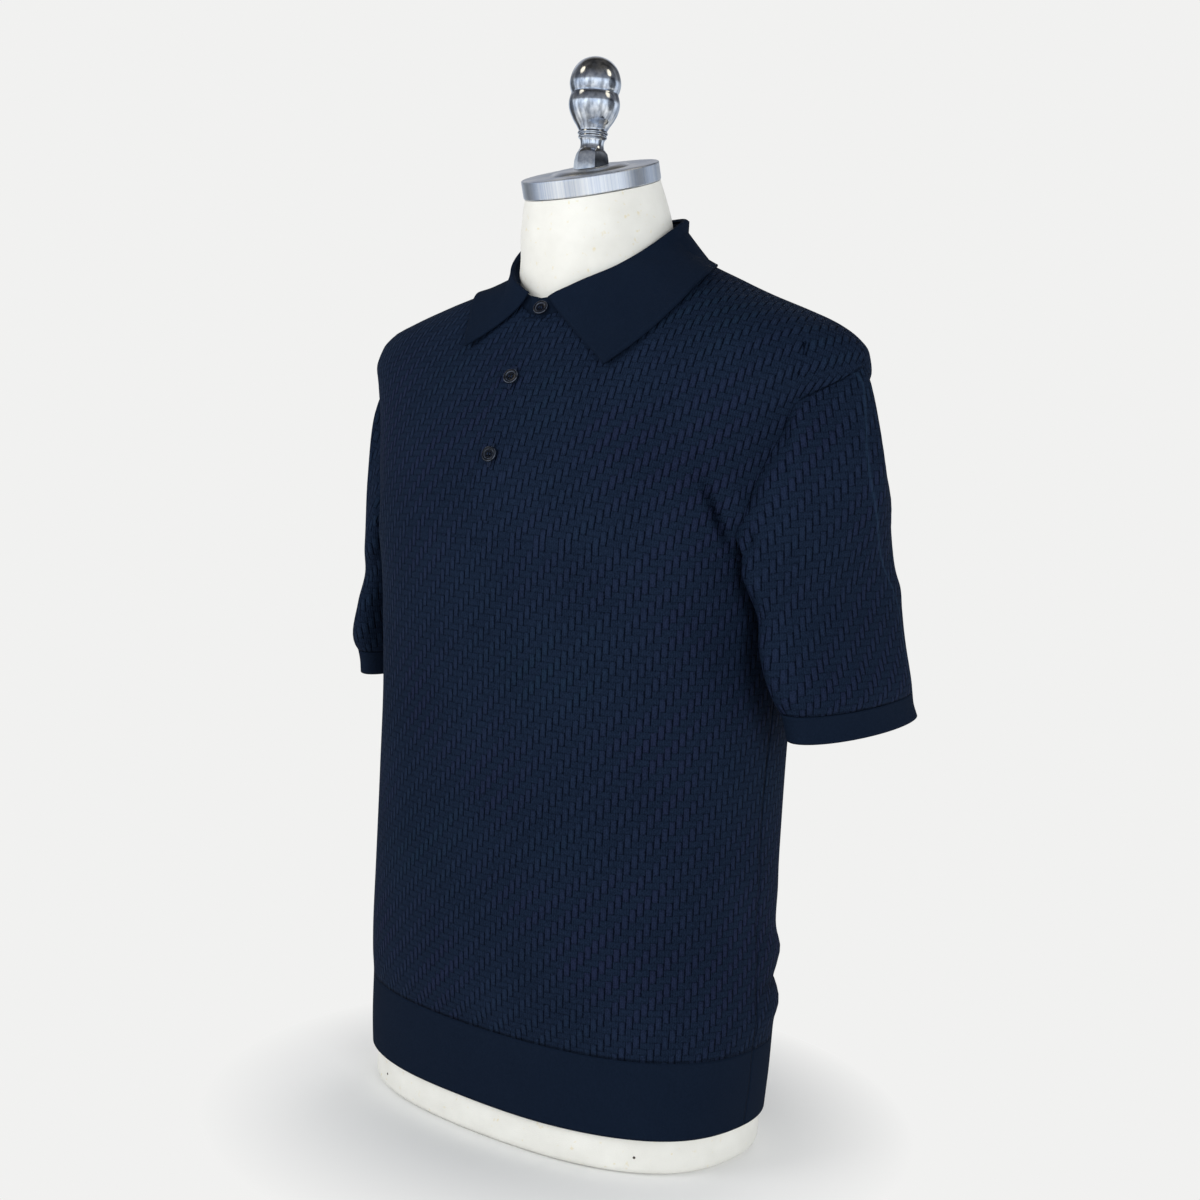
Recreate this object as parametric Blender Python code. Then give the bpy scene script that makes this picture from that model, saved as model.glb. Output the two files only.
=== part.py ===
"""A knitted polo shirt resting on a limbless dress form.

Every cloth piece is a thin closed wall. The body panels lie on one surface, a stack of
rounded sections from the hem to the neck, and the other pieces start from its edges.
Frame: origin at the middle of the form's flat base, +Z up, the front faces -Y and the
wearer's left is +X. The tables are in millimetres and the meshes in metres.
"""
import math

import bpy
import numpy as np

# ---------------------------------------------------------------- driving sizes (mm)
MM = 0.001
KNIT = 1.3                 # wall of the basket knit
RIB = 1.5                  # wall of the plain knit bands, stand and collar
SEAM = 0.35                # gap between two pieces at a seam
HALF_TURN = math.pi / 2

HEM_HEIGHT = 28.0          # lower edge of the hem above the base
BAND_TOP = 86.5            # top of the hem band
ARMPIT = 451.0             # lowest point of the armhole
ARMHOLE_WIDEST = 490.0     # height at which it reaches furthest to the front and back
SHOULDER_TIP = 591.0       # highest point of the armhole, on the dropped shoulder
ARMHOLE_FRONT = 59.0       # reach of the armhole to the front of the side seam
ARMHOLE_BACK = 60.0        # and to the back
ARMHOLE_ROUNDNESS = (2.8, 1.85)   # below and above the widest height; 2 is an ellipse

NECK_HALF_WIDTH = 77.0     # neckline seen from above
NECK_CENTRE = 4.0
NECK_FRONT = 81.0
NECK_BACK = 54.0
NECK_COLUMNS = 6           # a quarter of the neckline has this many steps

# Sections of the cloth's outside: half the width, where the centre front, centre back
# and side seam lie along Y, and how square the section is.
TORSO_COLUMNS = ("height", "half_width", "front", "back", "side", "square", "middle")
TORSO = (
    (0.0, 171.5, -103.5, 104.0, 4.0, 0.055, 0.0),
    (28.0, 173.0, -105.5, 105.0, 4.0, 0.075, 0.0),
    (60.0, 176.0, -108.0, 106.0, 4.0, 0.065, 0.0),
    (86.0, 177.0, -109.5, 107.0, 4.0, 0.060, 0.0),
    (106.0, 178.0, -115.0, 110.0, 4.0, 0.050, 0.0),
    (180.0, 173.5, -121.5, 108.0, 4.0, 0.055, 0.0),
    (260.0, 172.0, -122.5, 110.0, 4.0, 0.060, 0.0),
    (340.0, 175.0, -125.5, 111.0, 4.0, 0.045, 0.0),
    (400.0, 177.0, -129.0, 109.0, 5.0, 0.050, 0.0),
    (455.0, 182.0, -130.5, 108.0, 7.0, 0.060, 0.0),
    (500.0, 191.0, -126.0, 108.0, 8.0, 0.055, 0.0),
    (545.0, 206.0, -114.0, 108.0, 8.0, 0.045, 0.0),
    (573.0, 220.0, -103.5, 105.0, 8.0, 0.035, 0.0),
    (591.0, 229.0, -95.0, 101.0, 8.0, 0.025, 0.0),
    (604.0, 227.0, -88.5, 97.0, 8.0, 0.015, 0.0),
    (614.0, 220.0, -83.0, 93.0, 8.0, 0.005, 0.0),
    (624.0, 204.0, -77.0, 90.0, 11.0, 0.0, 2.0),
    (636.0, 173.0, -70.5, 85.0, 14.0, 0.0, 4.0),
    (648.0, 139.5, -63.5, 79.0, 14.0, 0.0, 6.0),
    (660.0, 108.0, -56.0, 70.0, 12.0, 0.0, 7.0),
    (672.0, 80.0, -47.5, 60.0, 9.0, 0.0, 6.0),
    (684.0, 60.0, -39.0, 49.0, 6.0, 0.0, 3.0),
)

# The largest folds on the body: where each lies round the body (degrees from the centre
# front, plus to the wearer's left) and in height, its half length and half width, how
# far it stands out and how it slopes.
FOLD_COLUMNS = ("turn", "height", "half_length", "half_width", "lift", "slope")
FOLDS = (
    (118.0, 152.0, 75.0, 11.0, 3.6, -4.0),
    (112.0, 112.0, 60.0, 9.0, 3.0, 5.0),
    (-122.0, 146.0, 70.0, 11.0, 3.2, 5.0),
    (-116.0, 110.0, 55.0, 9.0, 2.6, -3.0),
    (172.0, 160.0, 80.0, 12.0, 3.0, 2.0),
    (64.0, 455.0, 46.0, 11.0, 4.0, 58.0),
    (-64.0, 452.0, 44.0, 11.0, 3.6, -58.0),
    (136.0, 436.0, 44.0, 12.0, 3.2, -56.0),
    (-134.0, 432.0, 44.0, 12.0, 3.2, 56.0),
)

# The left sleeve below the armhole: rings seen from above, with the middle's place, half
# the length and half the thickness, how far the front end turns in, and the rise to the back.
SLEEVE_COLUMNS = ("height", "x", "y", "half_length", "half_thickness", "turn", "rise")
SLEEVE = (
    (438.0, 208.5, 7.5, 70.0, 24.0, 21.0, 0.03),
    (392.0, 216.0, 16.0, 68.5, 25.0, 16.0, 0.08),
    (357.5, 222.5, 25.5, 67.0, 28.0, 11.5, 0.12),
    (352.5, 223.0, 30.0, 63.0, 26.0, 11.0, 0.12),
)
CUFF_COLUMNS = SLEEVE_COLUMNS
CUFF = (
    (352.0, 223.0, 30.2, 63.0, 26.0, 11.0, 0.12),
    (343.0, 224.0, 32.5, 63.5, 25.8, 11.0, 0.12),
    (333.0, 225.5, 35.5, 65.5, 27.0, 11.0, 0.13),
)
SLEEVE_START_OUT = (8.5, 2.5)      # first step out of the armhole, at the underarm and on top
SLEEVE_START_DOWN = (4.5, 11.0)    # and down

SLEEVE_CLEAR = 2.6         # least gap between a sleeve's outside and the body
SWELL_TURN = 215.0         # where the sleeve's cap is fullest, degrees from the underarm over the front
SWELL_OUT = 13.0
SWELL_IN = -2.0

# Height of the collar's fold line round the neck, by the angle from the centre front.
FOLD_LINE_COLUMNS = ("turn", "height")
FOLD_LINE = ((0.0, 635.5), (12.0, 638.0), (30.0, 646.5), (46.0, 655.0), (60.0, 665.0), (75.0, 677.0), (92.0, 690.0),
             (115.0, 701.0), (145.0, 707.0), (180.0, 709.0))
FOLD_HALF_WIDTH = 64.0
FOLD_CENTRE = -8.0
FOLD_FRONT = 66.0
FOLD_BACK = 58.0
# The collar's outer edge: place along X (wearer's left is plus), Y and Z, from the left
# point round the back to the right point.
EDGE_COLUMNS = ("turn", "x", "y", "z")
COLLAR_EDGE = (
    (10.0, 79.0, -98.0, 585.0),
    (28.0, 95.0, -87.0, 600.0),
    (46.0, 108.0, -71.0, 619.0),
    (62.0, 115.0, -50.0, 640.0),
    (78.0, 114.0, -25.0, 657.0),
    (96.0, 104.0, 4.0, 667.0),
    (118.0, 86.0, 36.0, 670.0),
    (145.0, 55.0, 60.0, 667.0),
    (180.0, 0.0, 70.0, 664.0),
    (215.0, -55.0, 60.0, 667.0),
    (242.0, -85.0, 36.0, 669.0),
    (264.0, -98.0, 4.0, 664.0),
    (282.0, -95.0, -24.0, 655.0),
    (298.0, -86.0, -48.0, 644.0),
    (315.0, -75.0, -68.0, 631.0),
    (332.0, -67.0, -84.0, 616.0),
    (350.0, -58.0, -95.0, 599.0),
)
COLLAR_ROLL = 2.3          # radius of the fold over the stand
COLLAR_CLEAR = 2.2         # how far the fall's outside lies off the shoulders

PLACKET_HALF_WIDTH = 14.0
PLACKET_BOTTOM = 468.0
PLACKET_TOP = 620.0
PLACKET_LIFT = 0.5

BUTTON_RADIUS = 5.7
BUTTON_HEIGHTS = (627.5, 573.3, 515.8)

FORM_CLEAR_COLUMNS = ("height", "clear")
FORM_CLEAR = ((0.0, 3.0), (540.0, 3.0), (600.0, 3.6), (684.0, 3.0))   # between the cloth and the form
FORM_FOOT_INSET = 2.6
FORM_CORNER = ((0.0, 6.0), (0.8, 3.2), (2.6, 1.2), (6.0, 0.2), (16.0, 0.0))
FORM_ROOT_HALF_WIDTH = 67.0   # where the form's neck grows out of its shoulders, seen from above
FORM_ROOT_CENTRE = -5.0
FORM_ROOT_DEPTH = 60.0
# Rings of the form's neck, each leaning forward by its slope.
NECK_RING_COLUMNS = ("height", "radius", "centre", "slope")
NECK_RINGS = ((678.0, 60.5, -9.5, 0.24), (700.0, 57.5, -15.5, 0.30))
CAP_RADIUS = 53.5
CAP_HEIGHT = 14.0
CAP_TILT = 19.0
CAP_TOP_CENTRE = (0.0, -26.6, 738.7)
CAP_BOSS_RADIUS = 31.0
CAP_BOSS_HEIGHT = 2.4
KNOB_Y = -25.4
KNOB_TOP = 824.6
# The knob's outline, from the top down: depth below the top and radius.
KNOB_COLUMNS = ("depth", "radius")
KNOB = (
    (0.0, 0.0), (0.9, 5.2), (3.5, 11.2), (8.0, 15.7), (14.5, 18.7), (21.5, 19.7), (25.5, 18.9), (28.0, 18.1),
    (31.0, 18.9), (36.0, 19.7), (42.0, 18.6), (48.0, 15.8), (54.0, 12.0), (56.5, 11.0), (58.0, 11.7),
    (59.5, 10.6), (61.0, 11.1), (62.5, 9.8), (67.5, 9.0), (70.5, 9.6),
)
NUT_RADIUS = 13.8
NUT_TOP = 753.6
NUT_CHAMFER = 2.6

COLOURS = {
    "knit": ((0.012, 0.020, 0.042), 0.85, 0.0),
    "plain": ((0.009, 0.015, 0.031), 0.88, 0.0),
    "button": ((0.010, 0.011, 0.016), 0.25, 0.0),
    "form": ((0.77, 0.74, 0.66), 0.55, 0.0),
    "brushed": ((0.62, 0.62, 0.63), 0.35, 1.0),
    "chrome": ((0.60, 0.60, 0.60), 0.12, 1.0),
}


# ---------------------------------------------------------------- tables and meshes
def column(table, names, name, at):
    """Smooth value of one named column: a cubic through the rows that never overshoots."""
    rows = np.array(table, float)
    x = rows[:, 0]
    y = rows[:, names.index(name)]
    step = np.diff(x)
    slope = np.diff(y) / step
    tangent = np.zeros_like(y)
    same_sign = slope[:-1] * slope[1:] > 0
    harmonic = 2 * slope[:-1] * slope[1:] / np.where(same_sign, slope[:-1] + slope[1:], 1.0)
    tangent[1:-1] = np.where(same_sign, harmonic, 0.0)
    tangent[0] = slope[0]
    tangent[-1] = slope[-1]
    at = np.clip(np.asarray(at, float), x[0], x[-1])
    i = np.clip(np.searchsorted(x, at, side="right") - 1, 0, len(x) - 2)
    t = (at - x[i]) / step[i]
    return (y[i] * (1 + 2 * t) * (1 - t) ** 2 + step[i] * tangent[i] * t * (1 - t) ** 2
            + y[i + 1] * t * t * (3 - 2 * t) + step[i] * tangent[i + 1] * t * t * (t - 1))


def unit(vectors):
    """Vectors scaled to length one."""
    return vectors / np.maximum(np.linalg.norm(vectors, axis=-1, keepdims=True), 1e-9)


def material(name):
    """A Principled material of the named finish."""
    if name in bpy.data.materials:
        return bpy.data.materials[name]
    colour, roughness, metallic = COLOURS[name]
    made = bpy.data.materials.new(name)
    made.use_nodes = True
    shader = made.node_tree.nodes["Principled BSDF"]
    shader.inputs["Base Color"].default_value = (*colour, 1.0)
    shader.inputs["Roughness"].default_value = roughness
    shader.inputs["Metallic"].default_value = metallic
    made.diffuse_color = (*colour, 1.0)
    return made


def add_object(name, points, faces, finish, sharp=50.0):
    """A named mesh object from points in millimetres, turned right side out."""
    mesh = bpy.data.meshes.new(name)
    mesh.from_pydata((np.asarray(points) * MM).tolist(), [], faces)
    mesh.update()
    mesh.calc_loop_triangles()
    corners = np.array([[mesh.vertices[i].co for i in t.vertices] for t in mesh.loop_triangles])
    volume = np.einsum("ij,ij->i", corners[:, 0], np.cross(corners[:, 1], corners[:, 2])).sum()
    if volume < 0:
        mesh.flip_normals()
    mesh.shade_smooth()
    mesh.set_sharp_from_angle(angle=math.radians(sharp))
    mesh.materials.append(material(finish))
    made = bpy.data.objects.new(name, mesh)
    bpy.context.scene.collection.objects.link(made)
    return made


def grid_normals(grid, ring):
    """Unit normals of a grid of points, from its neighbours; a ring closes on itself."""
    if ring:
        along = np.roll(grid, -1, axis=1) - np.roll(grid, 1, axis=1)
    else:
        along = np.gradient(grid, axis=1)
    up = np.gradient(grid, axis=0)
    return unit(np.cross(along, up))


def wall(name, outside, normals, thickness, finish, ring=False):
    """A closed wall: the grid outside, its copy moved in along the normals, and the rims."""
    rows, columns = outside.shape[:2]
    inside = outside - normals * thickness
    points = np.concatenate([outside.reshape(-1, 3), inside.reshape(-1, 3)])
    inner = rows * columns
    last = columns if ring else columns - 1
    faces = []
    for r in range(rows - 1):
        for c in range(last):
            d = (c + 1) % columns
            a, b = r * columns + c, r * columns + d
            e, f = (r + 1) * columns + d, (r + 1) * columns + c
            faces.append((a, b, e, f))
            faces.append((inner + f, inner + e, inner + b, inner + a))
    for c in range(last):
        d = (c + 1) % columns
        low, high = 0, (rows - 1) * columns
        faces.append((low + d, low + c, inner + low + c, inner + low + d))
        faces.append((high + c, high + d, inner + high + d, inner + high + c))
    if not ring:
        for r in range(rows - 1):
            a, b = r * columns, (r + 1) * columns
            faces.append((a, b, inner + b, inner + a))
            a, b = a + columns - 1, b + columns - 1
            faces.append((b, a, inner + a, inner + b))
    return add_object(name, points, faces, finish)


def closed_loft(name, rings, finish, sharp=50.0):
    """A solid through closed rings, its two ends filled flat."""
    rows, columns = rings.shape[:2]
    faces = []
    for r in range(rows - 1):
        for c in range(columns):
            d = (c + 1) % columns
            faces.append((r * columns + c, r * columns + d, (r + 1) * columns + d, (r + 1) * columns + c))
    faces.append(tuple(reversed(range(columns))))
    faces.append(tuple((rows - 1) * columns + c for c in range(columns)))
    return add_object(name, rings.reshape(-1, 3), faces, finish, sharp)


# ---------------------------------------------------------------- the body surface
def torso_value(name, height):
    """One column of the torso table at these heights."""
    return column(TORSO, TORSO_COLUMNS, name, height)


def torso(turn, height, inset=0.0):
    """A point of the body: an ellipse with its diagonals pushed out, front and back apart."""
    side = torso_value("side", height)
    half_width = torso_value("half_width", height) - inset
    front = side - torso_value("front", height) - inset
    back = torso_value("back", height) - side - inset
    depth = np.where(np.cos(turn) > 0, front, back)
    swell = 1 + torso_value("square", height) * np.sin(2 * turn) ** 2
    x = torso_value("middle", height) + half_width * swell * np.sin(turn)
    y = side - depth * swell * np.cos(turn)
    return np.stack([x, y, np.broadcast_to(height, np.shape(x))], axis=-1)


def torso_normal(turn, height):
    """Outward unit normal of the body, from small steps round and up."""
    step = 0.01
    round_about = torso(turn + step, height) - torso(turn - step, height)
    upward = torso(turn, height + 1.5) - torso(turn, height - 1.5)
    return unit(np.cross(round_about, upward))


def fold_lift(turn, height):
    """How far the folds lift the cloth: each is a soft ridge that fades at its ends."""
    total = np.zeros(np.broadcast(turn, height).shape)
    radius = 150.0
    for row in FOLDS:
        fold = dict(zip(FOLD_COLUMNS, row))
        slope = math.radians(fold["slope"])
        across = (turn - math.radians(fold["turn"]) + math.pi) % (2 * math.pi) - math.pi
        dx = across * radius
        dz = height - fold["height"]
        along = dx * math.cos(slope) + dz * math.sin(slope)
        aside = dz * math.cos(slope) - dx * math.sin(slope)
        total = total + fold["lift"] * np.exp(-(along / fold["half_length"]) ** 2 - (aside / fold["half_width"]) ** 2)
    return total


def section_angle(reach, height, sign):
    """Angle at which a section is this far in front of or behind its side seam, by halving."""
    low = np.zeros(np.shape(reach))
    high = np.full(np.shape(reach), HALF_TURN)
    side = torso_value("side", height)
    for _ in range(40):
        middle = (low + high) / 2
        turn = middle if sign > 0 else math.pi - middle
        beyond = np.abs(torso(turn, height)[..., 1] - side) > reach
        low = np.where(beyond, middle, low)
        high = np.where(beyond, high, middle)
    return (low + high) / 2


def armhole(t, shrink=0.0):
    """Height and reach (0 to 1) on one half of the armhole, t from 0 at the armpit to 1 on the shoulder."""
    below = t < 0.5
    power = 2 / np.where(below, ARMHOLE_ROUNDNESS[0], ARMHOLE_ROUNDNESS[1])
    rise = np.abs(np.cos(math.pi * t)) ** power
    curve = np.maximum(np.sin(math.pi * t), 0) ** power
    drop = ARMHOLE_WIDEST - ARMPIT - shrink
    climb = SHOULDER_TIP - ARMHOLE_WIDEST - shrink
    height = ARMHOLE_WIDEST + np.where(below, -drop, climb) * rise
    return height, curve


def neckline(angle):
    """Angle round the body and height where the neck's oval, seen from above, meets the body.

    It is worked out on the wearer's left, from the body's own middle, and mirrored.
    """
    side_sign = np.where(np.sin(angle) < 0, -1.0, 1.0)
    angle = np.arccos(np.clip(np.cos(angle), -1, 1))
    depth = np.where(np.cos(angle) > 0, NECK_FRONT, NECK_BACK)
    x = NECK_HALF_WIDTH * np.sin(angle)
    y = NECK_CENTRE - depth * np.cos(angle)
    low = np.full(np.shape(angle), 600.0)
    high = np.full(np.shape(angle), 684.0)
    for _ in range(40):
        middle = (low + high) / 2
        side = torso_value("side", middle)
        front = side - torso_value("front", middle)
        back = torso_value("back", middle) - side
        across = x / torso_value("half_width", middle)
        fore = (side - y) / np.where(side > y, front, back)
        inside = np.hypot(across, fore) < 1
        low = np.where(inside, middle, low)
        high = np.where(inside, high, middle)
    height = (low + high) / 2
    return np.arctan2(across, fore) * side_sign, height


# ---------------------------------------------------------------- body panels
def half_panel_map(sign, columns, low_rows, high_rows):
    """Angles and heights over half a panel, from its centre line to its side.

    Below the armpit the rows are level. Above it they are blended from the four edges of
    that region: the level row, the centre line, the armhole, and the neckline with the
    shoulder seam.
    """
    trim = SEAM / 2 / 100.0
    s = np.linspace(0, 1, columns + 1)
    edge = HALF_TURN - trim
    low_height = np.linspace(BAND_TOP + SEAM, ARMPIT, low_rows + 1)
    low_turn = np.broadcast_to(s * edge, (low_rows + 1, columns + 1))

    t = np.linspace(0, 1, high_rows + 1)
    hole_height, curve = armhole(t)
    reach = curve * (ARMHOLE_FRONT if sign > 0 else ARMHOLE_BACK)
    hole_turn = np.minimum(section_angle(reach, hole_height, sign), edge)

    neck_columns = NECK_COLUMNS
    turn_at_neck = np.linspace(0, HALF_TURN, neck_columns + 1)
    if sign < 0:
        turn_at_neck = math.pi - turn_at_neck
    neck_turn, neck_height = neckline(turn_at_neck)
    if sign < 0:
        neck_turn = math.pi - neck_turn
    point_height = neck_height[-1]
    run = np.linspace(0, 1, columns - neck_columns + 1)[1:]
    seam_height = point_height + (SHOULDER_TIP - point_height) * run ** 0.9
    top_turn = np.concatenate([np.minimum(neck_turn, edge), np.full(len(run), edge)])
    top_height = np.concatenate([neck_height, seam_height])
    top_turn[neck_columns] = edge

    w = t ** 2

    def blend(bottom, top, centre, side):
        rows = (1 - w)[:, None] * bottom[None] + w[:, None] * top[None]
        sides = (1 - s)[None] * centre[:, None] + s[None] * side[:, None]
        corners = ((1 - s)[None] * (1 - w)[:, None] * bottom[0] + s[None] * (1 - w)[:, None] * bottom[-1]
                   + (1 - s)[None] * w[:, None] * top[0] + s[None] * w[:, None] * top[-1])
        return rows + sides - corners

    centre_height = hole_height + (top_height[0] - SHOULDER_TIP) * t ** 2.5
    high_turn = blend(s * edge, top_turn, np.zeros(len(t)), hole_turn)
    high_height = blend(np.full(columns + 1, ARMPIT), top_height, centre_height, hole_height)
    low = np.broadcast_to(low_height[:, None], (low_rows + 1, columns + 1))
    return np.concatenate([low_turn, high_turn[1:]]), np.concatenate([low, high_height[1:]])


def panel_points(turn, height, lift=0.0):
    """Points and normals of cloth on the body at these angles and heights, folds included."""
    normals = torso_normal(turn, height)
    return torso(turn, height) + normals * (fold_lift(turn, height) + lift)[..., None], normals


def add_panel(name, sign, columns=14, low_rows=13, high_rows=14):
    """The front (sign +1) or the back (sign -1) panel, made of two mirrored halves."""
    half_turn, half_height = half_panel_map(sign, columns, low_rows, high_rows)
    turn = np.concatenate([-half_turn[:, :0:-1], half_turn], axis=1)
    height = np.concatenate([half_height[:, :0:-1], half_height], axis=1)
    if sign < 0:
        turn = math.pi - turn
    points, normals = panel_points(turn, height)
    return wall(name, points, normals, KNIT, "knit")


def add_hem(name, sign, columns=28, rows=3):
    """The hem band below a panel, a little drawn in."""
    trim = SEAM / 2 / 100.0
    s = np.linspace(-1, 1, columns + 1) * (HALF_TURN - trim)
    turn = s if sign > 0 else math.pi - s
    height = np.linspace(HEM_HEIGHT, BAND_TOP, rows + 1)
    turn, height = np.meshgrid(turn, height)
    points, normals = panel_points(turn, height)
    return wall(name, points, normals, RIB, "plain")


def add_placket():
    """The buttonhole band, made from the front's own surface, moved out."""
    across = np.linspace(-PLACKET_HALF_WIDTH, PLACKET_HALF_WIDTH, 5)
    height = np.linspace(PLACKET_BOTTOM, PLACKET_TOP, 15)
    height, across = np.meshgrid(height, across, indexing="ij")
    turn = np.arcsin(across / torso_value("half_width", height))
    points, normals = panel_points(turn, height, PLACKET_LIFT + KNIT)
    return wall("placket", points, normals, KNIT, "knit")


# ---------------------------------------------------------------- sleeves and cuffs
def sleeve_ring(row, names, t):
    """One ring of the left sleeve; t runs from the underarm over the front to the outside."""
    ring = dict(zip(names, row))
    turn = math.radians(ring["turn"])
    length_way = np.array([math.sin(turn), math.cos(turn)])
    out_way = np.array([math.cos(turn), -math.sin(turn)])
    flat = (np.array([ring["x"], ring["y"]])
            - ring["half_thickness"] * np.cos(t)[:, None] * out_way
            - ring["half_length"] * np.sin(t)[:, None] * length_way)
    height = ring["height"] + ring["rise"] * (flat[:, 1] - ring["y"])
    return np.column_stack([flat, height])


def armhole_ring(t):
    """The sleeve's first ring: the armhole on the body, a seam's gap smaller, and its normals."""
    part = np.abs((t + math.pi) % (2 * math.pi) - math.pi) / math.pi
    height, curve = armhole(part, SEAM)
    is_front = np.sin(t) >= 0
    front = section_angle(curve * (ARMHOLE_FRONT - SEAM), height, 1)
    back = math.pi - section_angle(curve * (ARMHOLE_BACK - SEAM), height, -1)
    turn = np.where(is_front, front, back)
    return panel_points(turn, height)


def sleeve_swell(t):
    """How far the sleeve's cap stands out: full behind its outer side, flat before it."""
    full = np.maximum(np.cos(t - math.radians(SWELL_TURN)), 0) ** 1.5
    flat = np.maximum(np.cos(t - math.radians(SWELL_TURN - 90)), 0) ** 2
    return SWELL_OUT * full - SWELL_IN * flat


def through_stations(stations, steps):
    """Smooth rows through rings of points: a cubic between each two, its slopes by distance."""
    gaps = np.linalg.norm(np.diff(stations, axis=0), axis=2).mean(axis=1)
    knots = np.concatenate([[0], np.cumsum(gaps)])
    slopes = np.gradient(stations, knots, axis=0)
    rows = [stations[:1]]
    for k, count in enumerate(steps):
        t = (np.arange(1, count + 1) / count)[:, None, None]
        span = knots[k + 1] - knots[k]
        rows.append(stations[k] * (1 + 2 * t) * (1 - t) ** 2 + span * slopes[k] * t * (1 - t) ** 2
                    + stations[k + 1] * t * t * (3 - 2 * t) + span * slopes[k + 1] * t * t * (t - 1))
    return np.concatenate(rows)


def sleeve_grid(count):
    """Rings of the left sleeve, from the armhole to the cuff."""
    t = np.arange(count) * 2 * math.pi / count
    start, normals = armhole_ring(t)
    top = (1 - np.cos(t)) / 2
    out = SLEEVE_START_OUT[0] + (SLEEVE_START_OUT[1] - SLEEVE_START_OUT[0]) * top
    down = SLEEVE_START_DOWN[0] + (SLEEVE_START_DOWN[1] - SLEEVE_START_DOWN[0]) * top
    second = start + normals * out[:, None] - np.outer(down, (0, 0, 1))
    rings = [sleeve_ring(row, SLEEVE_COLUMNS, t) for row in SLEEVE]
    level = np.stack([normals[:, 0], normals[:, 1], 0 * t], axis=-1)
    cap = (second + rings[0]) / 2 + level * sleeve_swell(t)[:, None]
    grid = through_stations(np.array([start, second, cap, *rings]), (2, 2, 2, 3, 2, 1))
    turn = np.arctan2(grid[..., 0], torso_value("side", grid[..., 2]) - grid[..., 1])
    pushed = push_off_body(grid, SLEEVE_CLEAR + fold_lift(turn, grid[..., 2])[..., None])
    hangs = (grid[..., 2] < ARMPIT + 12.0)[..., None] & (np.arange(len(grid)) > 2)[:, None, None]
    return np.where(hangs, pushed, grid)


def add_sleeve(side, sign):
    """A sleeve and its cuff; the right ones are the left ones mirrored."""
    count = 28
    t = np.arange(count) * 2 * math.pi / count
    mirror = np.array([sign, 1, 1])
    for name, rings, thickness, finish in (
            ("sleeve_" + side, sleeve_grid(count), KNIT, "knit"),
            ("cuff_" + side, np.array([sleeve_ring(row, CUFF_COLUMNS, t) for row in CUFF]), RIB, "plain")):
        normals = grid_normals(rings, True)
        middle = rings.mean(axis=1, keepdims=True)
        if ((rings - middle) * normals).sum() < 0:
            normals = -normals
        wall(name, rings * mirror, normals * mirror, thickness, finish, ring=True)


# ---------------------------------------------------------------- collar
def neck_edge(angle):
    """Points of the neckline seam on the body, straight between the panels' own points."""
    step = HALF_TURN / NECK_COLUMNS
    first = np.floor(angle / step) * step
    part = ((angle - first) / step)[:, None]
    here = torso(*neckline(first))
    following = torso(*neckline(first + step))
    return here * (1 - part) + following * part


def fold_line(angle):
    """Points of the line over which the collar folds, an oval seen from above."""
    depth = np.where(np.cos(angle) > 0, FOLD_FRONT, FOLD_BACK)
    around = np.degrees(np.arccos(np.cos(angle)))
    return np.stack([FOLD_HALF_WIDTH * np.sin(angle), FOLD_CENTRE - depth * np.cos(angle),
                     column(FOLD_LINE, FOLD_LINE_COLUMNS, "height", around)], axis=-1)


def add_collar_stand(columns=44, rows=3):
    """The neck band: from the neckline up to the fold, one end lapped under the other."""
    over_end, under_end = -math.radians(10.5), 2 * math.pi + math.radians(8.0)
    angle = np.linspace(over_end, under_end, columns + 1)
    low = neck_edge(angle)
    high = fold_line(angle)
    up = unit(high - low)
    low = low + up * 1.7
    out = unit(np.stack([np.sin(angle), -np.cos(angle), 0 * angle], axis=-1))
    lap = 2.1 * np.clip((angle - (2 * math.pi - math.radians(26))) / math.radians(14), 0, 1)
    t = np.linspace(0, 1, rows + 1)[:, None, None]
    grid = low * (1 - t) + high * t + out * (0.8 - lap)[None, :, None]
    normals = grid_normals(grid, False)
    return wall("collar_stand", grid, normals, RIB, "plain")


def collar_edge(angle):
    """Points of the fall's outer edge, from the table by angle round the neck."""
    degrees = np.degrees(angle)
    return np.stack([column(COLLAR_EDGE, EDGE_COLUMNS, axis, degrees) for axis in "xyz"], axis=-1)


def body_level(points):
    """How far out points lie from the body: zero on its surface, growing outwards."""
    x, y, z = points[..., 0], points[..., 1], points[..., 2]
    side = torso_value("side", z)
    front = side - torso_value("front", z)
    back = torso_value("back", z) - side
    across = (x - torso_value("middle", z)) / torso_value("half_width", z)
    fore = (side - y) / np.where(side > y, front, back)
    swell = 1 + torso_value("square", z) * np.sin(2 * np.arctan2(across, fore)) ** 2
    return np.hypot(across, fore) / swell - 1


def push_off_body(points, clear):
    """Points moved straight out of the body's surface until they clear it."""
    for _ in range(5):
        slopes = [body_level(points + axis) - body_level(points - axis) for axis in np.eye(3) * 0.5]
        gradient = np.stack(slopes, axis=-1)
        steepness = np.maximum(np.linalg.norm(gradient, axis=-1, keepdims=True), 1e-6)
        distance = body_level(points)[..., None] / steepness
        points = points + gradient / steepness * np.maximum(clear - distance, 0)
    return points


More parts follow.
